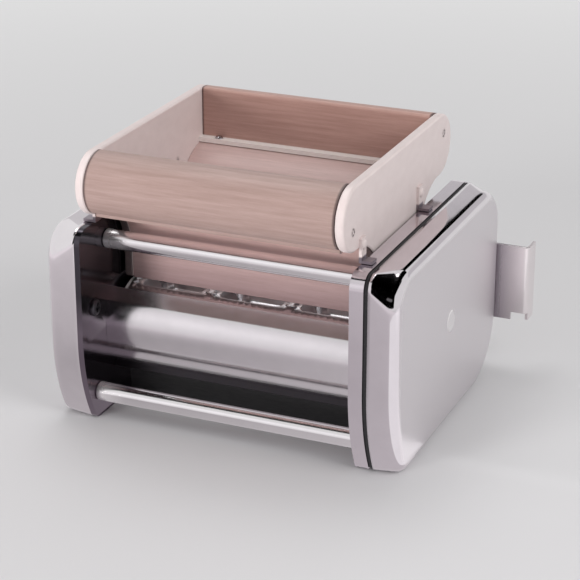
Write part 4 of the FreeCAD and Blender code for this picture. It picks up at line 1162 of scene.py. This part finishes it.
def wood_finish(name, light, dark, pore, foot=None, shade_at_ends=False):
    """Fine straight wood grain along X; foot is a list of (height, tint) from the foot upward,
    painted light and shade by height; the last argument darkens a board's ends as painted shade.
    """
    material, tree, shader = new_finish(name)
    bands = object_pattern(tree, "ShaderNodeTexNoise", (7, 140, 140), Detail=5.0, Roughness=0.6)
    fibres = object_pattern(tree, "ShaderNodeTexNoise", (45, 1400, 1400), Detail=4.0, Roughness=0.7)
    broad = ramp_of(tree, bands.outputs["Fac"], [(0.32, dark), (0.68, light)])
    fine = ramp_of(tree, fibres.outputs["Fac"], [(0.30, pore), (0.52, (1, 1, 1))])
    darken = {"data_type": "RGBA", "blend_type": "MULTIPLY"}
    grain = mixed(tree, 0.55, broad, fine, **darken)
    if foot:
        low, high = foot[0][0], foot[-1][0]
        share = ranged(tree, object_height(tree, "Z"), 0.0, 1.0, low * MM, high * MM)
        stops = [((height - low) / (high - low), tint) for height, tint in foot]
        grain = mixed(tree, 1.0, grain, ramp_of(tree, share, stops), **darken)
    # Painted shade: a dark band at each end of a board, where it meets a cheek.
    if shade_at_ends:
        across = add_node(tree, "ShaderNodeMath", operation="ABSOLUTE")
        tree.links.new(object_height(tree, "X"), across.inputs[0])
        begin, end = END_SHADE_START * MM, (END_SHADE_START + END_SHADE_FADE) * MM
        near_end = ranged(tree, across.outputs[0], 0.0, 1.0, begin, end)
        grain = mixed(tree, near_end, grain, (0.30, 0.28, 0.29, 1), **darken)
    tree.links.new(grain, shader.inputs["Base Color"])
    rough = ranged(tree, fibres.outputs["Fac"], 0.60, 0.42)
    tree.links.new(rough, shader.inputs["Roughness"])
    shader.inputs["Coat Weight"].default_value = 0.25
    shader.inputs["Coat Roughness"].default_value = 0.35
    raise_skin(tree, shader, [(bands.outputs["Fac"], 0.00008), (fibres.outputs["Fac"], 0.00004)])
    return material


BOARD_PORE = (0.82, 0.79, 0.78)
WALL_LIGHT = (0.66, 0.475, 0.450)
WALL_DARK = (0.57, 0.405, 0.380)
WALL_PORE = (0.84, 0.81, 0.80)
CREAM_STOPS = [(0.3, (0.760, 0.650, 0.635)), (0.7, (0.800, 0.690, 0.675))]
board_wood = wood_finish(
    "board_wood", (0.45, 0.315, 0.285), (0.37, 0.250, 0.220), BOARD_PORE, shade_at_ends=True
)
rear_board_wood = wood_finish(
    "rear_board_wood", (0.53, 0.325, 0.280), (0.43, 0.250, 0.210), BOARD_PORE, shade_at_ends=True
)
# Inside the funnel the wall is painted darker towards its foot: painted shade.
wall_wood = wood_finish(
    "wall_wood", WALL_LIGHT, WALL_DARK, WALL_PORE, [(56, (0.52, 0.48, 0.51)), (84, (1, 1, 1))]
)
# The funnel's outer side is painted darker towards its foot as shade, and up to 1.5 times lighter
# under the board as painted light.
SKIRT_PAINTED_LIGHT_AND_SHADE = [(56, (0.55, 0.51, 0.54)), (74, (0.98, 0.96, 0.97))]
SKIRT_PAINTED_LIGHT_AND_SHADE += [(86, (1.28, 1.24, 1.22)), (91, (1.5, 1.44, 1.42))]
skirt_wood = wood_finish("skirt_wood", WALL_LIGHT, WALL_DARK, WALL_PORE, SKIRT_PAINTED_LIGHT_AND_SHADE)
# The cheeks' tongue edges are painted near-black: painted shade.
tongue_painted_shade = wood_finish(
    "tongue_painted_shade", (0.11, 0.080, 0.080), (0.08, 0.055, 0.055), WALL_PORE
)

cheek_cream, cream_tree, cream = new_finish("cheek_cream")
cream_cloud = object_pattern(cream_tree, "ShaderNodeTexNoise", (45, 30, 45), Detail=5.0)
cream_grain = object_pattern(cream_tree, "ShaderNodeTexNoise", (900, 220, 900), Detail=4.0)
cream_tone = ramp_of(cream_tree, cream_cloud.outputs["Fac"], CREAM_STOPS)
cream_rough = ranged(cream_tree, cream_grain.outputs["Fac"], 0.36, 0.50)
cream_tree.links.new(cream_tone, cream.inputs["Base Color"])
cream_tree.links.new(cream_rough, cream.inputs["Roughness"])
cream.inputs["Coat Weight"].default_value = 0.2
cream.inputs["Coat Roughness"].default_value = 0.3
cream_relief = [(cream_cloud.outputs["Fac"], 0.00006), (cream_grain.outputs["Fac"], 0.000015)]
raise_skin(cream_tree, cream, cream_relief)

under_nose = NOSE[0] - math.sqrt(NOSE_RADIUS**2 - (NOSE[1] - BOARD_SEAT) ** 2)
under_turn = math.degrees(math.atan2(BOARD_SEAT - NOSE[1], under_nose - NOSE[0])) + 360


def mirrored_ring(ring):
    """The same outline on the other side of the nip."""
    return [(2 * NIP - y, z) for y, z in ring][::-1]


ease_y, ease_z = BOARD_INNER - BOARD_EASE, HOPPER_TOP - BOARD_EASE
board_ring = line_points((under_nose, BOARD_SEAT), (BOARD_INNER, BOARD_SEAT), 12)
board_ring += line_points((BOARD_INNER, BOARD_SEAT), (BOARD_INNER, ease_z), 12)
board_ring += arc_points((ease_y, ease_z), BOARD_EASE, 0, 90, 8)
board_ring += line_points((ease_y, HOPPER_TOP), (NOSE[0], HOPPER_TOP), 2)
board_ring += arc_points(NOSE, NOSE_RADIUS, 90, under_turn, 56)
for name, ring, finish, node in (
    ("front_board_bullnose", board_ring, board_wood, "front_board"),
    ("rear_board_bullnose", mirrored_ring(board_ring), rear_board_wood, "rear_board"),
):
    board = new_piece(name, loft([at_x(-CHEEK_INNER, ring), at_x(CHEEK_INNER, ring)]))
    ease_edges(board, 0, angle=30)
    hand_over(board, finish, "hopper", "hopper_board", node)

wall_y, wall_z = FUNNEL_AXIS
wall_ring = arc_points(FUNNEL_AXIS, FUNNEL_OVER, 90, 0, 40)
wall_ring += [(wall_y + FUNNEL_OVER, wall_z), (wall_y + FUNNEL_OVER, FUNNEL_BOTTOM)]
wall_ring += [(wall_y + FUNNEL_UNDER, FUNNEL_BOTTOM)]
wall_ring += arc_points(FUNNEL_AXIS, FUNNEL_UNDER, 0, 90, 40)
wall_ring += [(wall_y, WALL_LIP), (wall_y - 6, WALL_LIP), (wall_y - 6, BOARD_SEAT)]


def wall_side(face, outward):
    """0 inside the funnel, 1 on its outer side, 2 on the lip under the board, where the board's
    darker wood is painted shade.
    """
    faces_out = face.normal.y * outward > 0.02 or face.normal.z < -0.9
    return 2 if faces_out and face.center.z > WALL_LIP * MM else int(faces_out)


for name, ring, outward, node in (
    ("front_funnel_sheet", wall_ring, -1, "front_funnel_wall"),
    ("rear_funnel_sheet", mirrored_ring(wall_ring), 1, "rear_funnel_wall"),
):
    wall = new_piece(name, loft([at_x(-CHEEK_INNER, ring), at_x(CHEEK_INNER, ring)]))
    dress(wall, (wall_wood, skirt_wood, board_wood), lambda face, o=outward: wall_side(face, o))
    ease_edges(wall, 0.4, angle=30)
    hand_over(wall, None, "hopper", "hopper_board", node)


def cheek_ring():
    """An end cheek's outline: rounded ends above, a tongue with hollow sides below."""
    far_nose = (2 * NIP - NOSE[0], NOSE[1])
    far_axis = (2 * NIP - FUNNEL_AXIS[0], FUNNEL_AXIS[1])
    cheek_low = NOSE[1] - NOSE_RADIUS
    foot_front = (FUNNEL_AXIS[0] + FUNNEL_UNDER, FUNNEL_BOTTOM)
    foot_rear = (far_axis[0] - FUNNEL_UNDER, FUNNEL_BOTTOM)
    ring = line_points(foot_front, foot_rear, 6) + [foot_rear]
    ring += arc_points(far_axis, FUNNEL_UNDER, 180, 90, 32)
    ring += [(far_axis[0], cheek_low)]
    ring += arc_points(far_nose, NOSE_RADIUS, -90, 90, 48)
    ring += line_points((far_nose[0], HOPPER_TOP), (NOSE[0], HOPPER_TOP), 8)
    ring += arc_points(NOSE, NOSE_RADIUS, 90, 270, 48)
    ring += [(NOSE[0], cheek_low)]
    ring += arc_points(FUNNEL_AXIS, FUNNEL_UNDER, 90, 0, 32)
    return ring


def on_tongue_edge(face):
    """1 on the edges of a cheek's tongue, painted dark as shade, 0 elsewhere."""
    return int(face.center.z < TONGUE_TOP * MM and abs(face.normal.x) < 0.5)


for name, start, end, node in (
    ("left_cheek_board", -CHEEK_OUTER, -CHEEK_INNER, "left_cheek"),
    ("right_cheek_board", CHEEK_INNER, CHEEK_OUTER, "right_cheek"),
):
    cheek = new_piece(name, loft([at_x(start, cheek_ring()), at_x(end, cheek_ring())]))
    dress(cheek, (cheek_cream, tongue_painted_shade), on_tongue_edge)
    ease_edges(cheek, 1.1, segments=4, angle=30)
    hand_over(cheek, None, "hopper", "hopper_cheek", node)

# ---------------------------------------------------------------------------------------------
# Hopper fittings. Pale strips cover the joint at the foot of each board, held by round-headed
# pins; painted screws hold the corners, and riveted steel lugs carry the hopper on the plates.
# ---------------------------------------------------------------------------------------------

rail_pale = plain_finish(
    "rail_pale", (20, 500, 500), 4.0,
    [(0.3, (0.95, 0.89, 0.86)), (0.7, (0.98, 0.93, 0.90))], 0.22, 0.00002,
)
rails = smooth_copy("hopper_rails", 0.5, "hopper_rail_strips")
hand_over(rails, rail_pale, "hopper", "rail_metal", "hopper_rails")

pin_profile = [(-2.0, 0), (-2.0, 1.0), (0, 1.0), (0, 1.8), (0.25, 1.8)]
pin_profile += dome(0.25, 1.8, 0.95)[1:]
pin_places = [(x, y, 97.0, UPWARD) for x in (-44.0, 44.0) for y in (-53.05, 36.35)]
set_out(
    "rail_pin_set", [turned(pin_profile, (0, 0), 40)], pin_places,
    screw_steel, "hopper", "rail_pins", spread=0.5, seed=7,
)

painted_screw = plain_finish(
    "painted_screw", (700, 700, 700), 3.0, CREAM_STOPS, 0.4, 0.00002
)
CHEEK_SCREWS = [(-60.375, 100.867), (43.675, 109.733)]
SCREW_SUNK = 1.5
screw_places = [(CHEEK_OUTER - SCREW_SUNK, *at, TO_RIGHT) for at in CHEEK_SCREWS]
screw_places += [(SCREW_SUNK - CHEEK_OUTER, *at, TO_LEFT) for at in CHEEK_SCREWS]
set_out(
    "cheek_screw_set", [screw_shape(2.45, SCREW_SUNK, 1.25, 12.5)], screw_places,
    painted_screw, "hopper", "cheek_screws", spread=1.2, seed=11,
)

lug_paint, lug_tree, lug_shader = new_finish("lug_paint")
lug_cloud = object_pattern(lug_tree, "ShaderNodeTexNoise", (600, 600, 600), Detail=3.0)
lug_cream = ramp_of(lug_tree, lug_cloud.outputs["Fac"], CREAM_STOPS)
PAINT_START, PAINT_FULL = 88.4, 89.0  # the feet below stay bare steel
painted = ranged(
    lug_tree, object_height(lug_tree, "Z"), 0.0, 1.0, PAINT_START * MM, PAINT_FULL * MM
)
lug_tone = mixed(lug_tree, painted, (0.30, 0.26, 0.29, 1), lug_cream, data_type="RGBA")
lug_metallic = ranged(lug_tree, painted, 1.0, 0.0, 0.0, 1.0)
lug_tree.links.new(lug_tone, lug_shader.inputs["Base Color"])
lug_tree.links.new(lug_metallic, lug_shader.inputs["Metallic"])
lug_shader.inputs["Roughness"].default_value = 0.36
raise_skin(lug_tree, lug_shader, [(lug_cloud.outputs["Fac"], 0.00001)])
lugs = smooth_copy("hopper_lugs", 0.3, "hopper_lug_angles")
hand_over(lugs, lug_paint, "hopper", "fastener_steel", "hopper_lugs")
lug_profile = [(-5.2, 0), (-5.2, 1.2), (0, 1.2), (0, 2.0)] + dome(0, 2.0, 0.8)[1:]
lug_places = [(-58.2, y, 93.2, TO_LEFT) for y in (-51.65, 13.35)]
lug_places += [(58.2, y, 93.2, TO_RIGHT) for y in (-51.65, 13.35)]
set_out(
    "lug_rivet_set", [turned(lug_profile, (0, 0), 32)], lug_places,
    painted_screw, "hopper", "lug_rivets", spread=0.5, seed=13,
)

# ---------------------------------------------------------------------------------------------
# Studio. A pale floor that runs out into an even background, three soft boxes, and cards that
# show only in reflections: black above and in front, grey behind, and a glow on the floor.
# ---------------------------------------------------------------------------------------------

BACKGROUND = (0.84, 0.84, 0.84, 1)
FLOOR_SIDE = 16.0


def seen_directly(tree):
    """1 for what is seen straight or in a mirror, 0 for the light that falls on things."""
    path = add_node(tree, "ShaderNodeLightPath")
    seen = add_node(tree, "ShaderNodeMath", operation="MAXIMUM")
    tree.links.new(path.outputs["Is Camera Ray"], seen.inputs[0])
    tree.links.new(path.outputs["Is Glossy Ray"], seen.inputs[1])
    return seen.outputs[0]


def distance(tree):
    """How far a point lies from its object's origin, in metres."""
    place = add_node(tree, "ShaderNodeTexCoord")
    far = add_node(tree, "ShaderNodeVectorMath", operation="LENGTH")
    tree.links.new(place.outputs["Object"], far.inputs[0])
    return far.outputs["Value"]


def flat_sheet(name, size, material, shift=(0.0, 0.0)):
    """A rectangle in its own XY plane, moved off the origin by shift."""
    mesh = bpy.data.meshes.new(name)
    signs = [(-1, -1), (1, -1), (1, 1), (-1, 1)]
    corners = [(shift[0] + x * size[0] / 2, shift[1] + y * size[1] / 2, 0) for x, y in signs]
    mesh.from_pydata(corners, [], [(0, 1, 2, 3)])
    mesh.materials.append(material)
    sheet = bpy.data.objects.new(name, mesh)
    bpy.context.scene.collection.objects.link(sheet)
    return sheet


def pale_floor():
    """A wide floor: lit near the machine, as pale as the background far from it."""
    material, tree, shader = new_finish("studio_floor")
    shader.inputs["Base Color"].default_value = (0.72, 0.71, 0.72, 1)
    shader.inputs["Roughness"].default_value = 0.6
    amount = add_node(tree, "ShaderNodeMath", operation="MULTIPLY")
    tree.links.new(seen_directly(tree), amount.inputs[0])
    tree.links.new(ranged(tree, distance(tree), 0.0, 1.0, 0.30, 1.0), amount.inputs[1])
    pale = add_node(tree, "ShaderNodeEmission", Color=BACKGROUND, Strength=1.0)
    both = add_node(tree, "ShaderNodeMixShader")
    tree.links.new(amount.outputs[0], both.inputs["Fac"])
    tree.links.new(shader.outputs[0], both.inputs[1])
    tree.links.new(pale.outputs[0], both.inputs[2])
    tree.links.new(both.outputs[0], tree.nodes["Material Output"].inputs["Surface"])
    return material


floor = flat_sheet("studio_floor", (FLOOR_SIDE, FLOOR_SIDE), pale_floor())

world = bpy.data.worlds.new("studio")
world.use_nodes = True
bpy.context.scene.world = world
sky = world.node_tree
air = sky.nodes["Background"]
air.inputs["Color"].default_value = BACKGROUND
level = ranged(sky, seen_directly(sky), 0.5, 1.0, 0.0, 1.0)
sky.links.new(level, air.inputs["Strength"])


def soft_lamp(name, place, aim, width, power):
    """A square soft box turned towards a point."""
    lamp = bpy.data.lights.new(name, "AREA")
    lamp.size = width
    lamp.energy = power
    holder = bpy.data.objects.new(name, lamp)
    holder.location = place
    holder.rotation_euler = (Vector(aim) - Vector(place)).to_track_quat("-Z", "Y").to_euler()
    bpy.context.scene.collection.objects.link(holder)
    return holder


MIDDLE = (0, 0, 0.05)
soft_lamp("key_box", (1.1, -0.35, 0.9), MIDDLE, 0.8, 8.0).visible_glossy = False
soft_lamp("top_box", (-0.3, 0.3, 1.4), MIDDLE, 0.8, 5.0)
soft_lamp("front_box", (-0.5, -1.1, 0.18), MIDDLE, 0.34, 8.5).visible_glossy = False


def studio_card(name, place, turn, size, glow, tint=(1, 0.98, 1), shift=(0.0, 0.0), fade=None):
    """A card that shows only in reflections; its glow runs from the origin outward.

    glow holds its ends, which fade places by their distance (by default from the origin to
    half a card away); shift moves the sheet away from the origin.
    """
    fade = fade or (0.0, min(size) / 2)
    material, tree, _ = new_finish(name)
    strength = ranged(tree, distance(tree), *glow, *fade)
    light = add_node(tree, "ShaderNodeEmission", Color=(*tint, 1))
    tree.links.new(strength, light.inputs["Strength"])
    tree.links.new(light.outputs[0], tree.nodes["Material Output"].inputs["Surface"])
    card = flat_sheet(name, size, material, shift)
    card.location = place
    card.rotation_euler = [math.radians(angle) for angle in turn]
    card.visible_camera = False
    card.visible_diffuse = False
    card.visible_shadow = False


FLAT = (0, 0, 0)
UPRIGHT = (90, 0, 0)
BLACK = (0.0, 0.0)
studio_card("black_flag", (0.25, -0.42, 0.70), FLAT, (0.62, 1.14), BLACK)
studio_card("rear_flag", (0.235, 0.54, 0.70), FLAT, (0.43, 0.78), BLACK)
studio_card("left_flag", (-0.41, -0.275, 0.85), FLAT, (0.58, 0.45), (0.05, 0.05))
studio_card("front_flag", (0.30, -0.98, 0.54), UPRIGHT, (0.80, 0.92), BLACK)
studio_card("dim_card", (0.08, -0.97, 0.515), UPRIGHT, (0.36, 0.17), (0.16, 0.16))
studio_card("grey_backdrop", (-0.1, 0.95, 0.44), UPRIGHT, (1.9, 0.26), (0.62, 0.62))
studio_card("black_line", (-0.115, 0.94, 0.605), UPRIGHT, (0.47, 0.295), BLACK)
studio_card("floor_glow", (0.30, -0.13, 0.002), FLAT, (0.44, 0.20), (1.18, 0.98))
studio_card(
    "front_shade", (-0.08, -0.10, 0.001), FLAT, (1.2, 1.31), (0.42, 0.84), (1, 0.945, 0.98),
    shift=(-0.22, -0.595), fade=(0.0, 0.34),
)
studio_card("front_glow", (-0.45, -1.0, 0.38), (75, 0, -24), (1.0, 0.80), (1.15, 0.82))

camera = bpy.data.cameras.new("camera")
camera.lens = 121.7
camera.sensor_width = 36.0
viewer = bpy.data.objects.new("camera", camera)
back = Vector((0.376, -0.845, 0.3795))
viewer.location = Vector((0, -0.01665, 0.050)) + back * 0.817
look = Vector((0.0104, -0.0120, 0.0519)) - viewer.location
viewer.rotation_euler = look.to_track_quat("-Z", "Y").to_euler()
bpy.context.scene.collection.objects.link(viewer)
bpy.context.scene.camera = viewer
bpy.context.scene.view_settings.view_transform = "Standard"
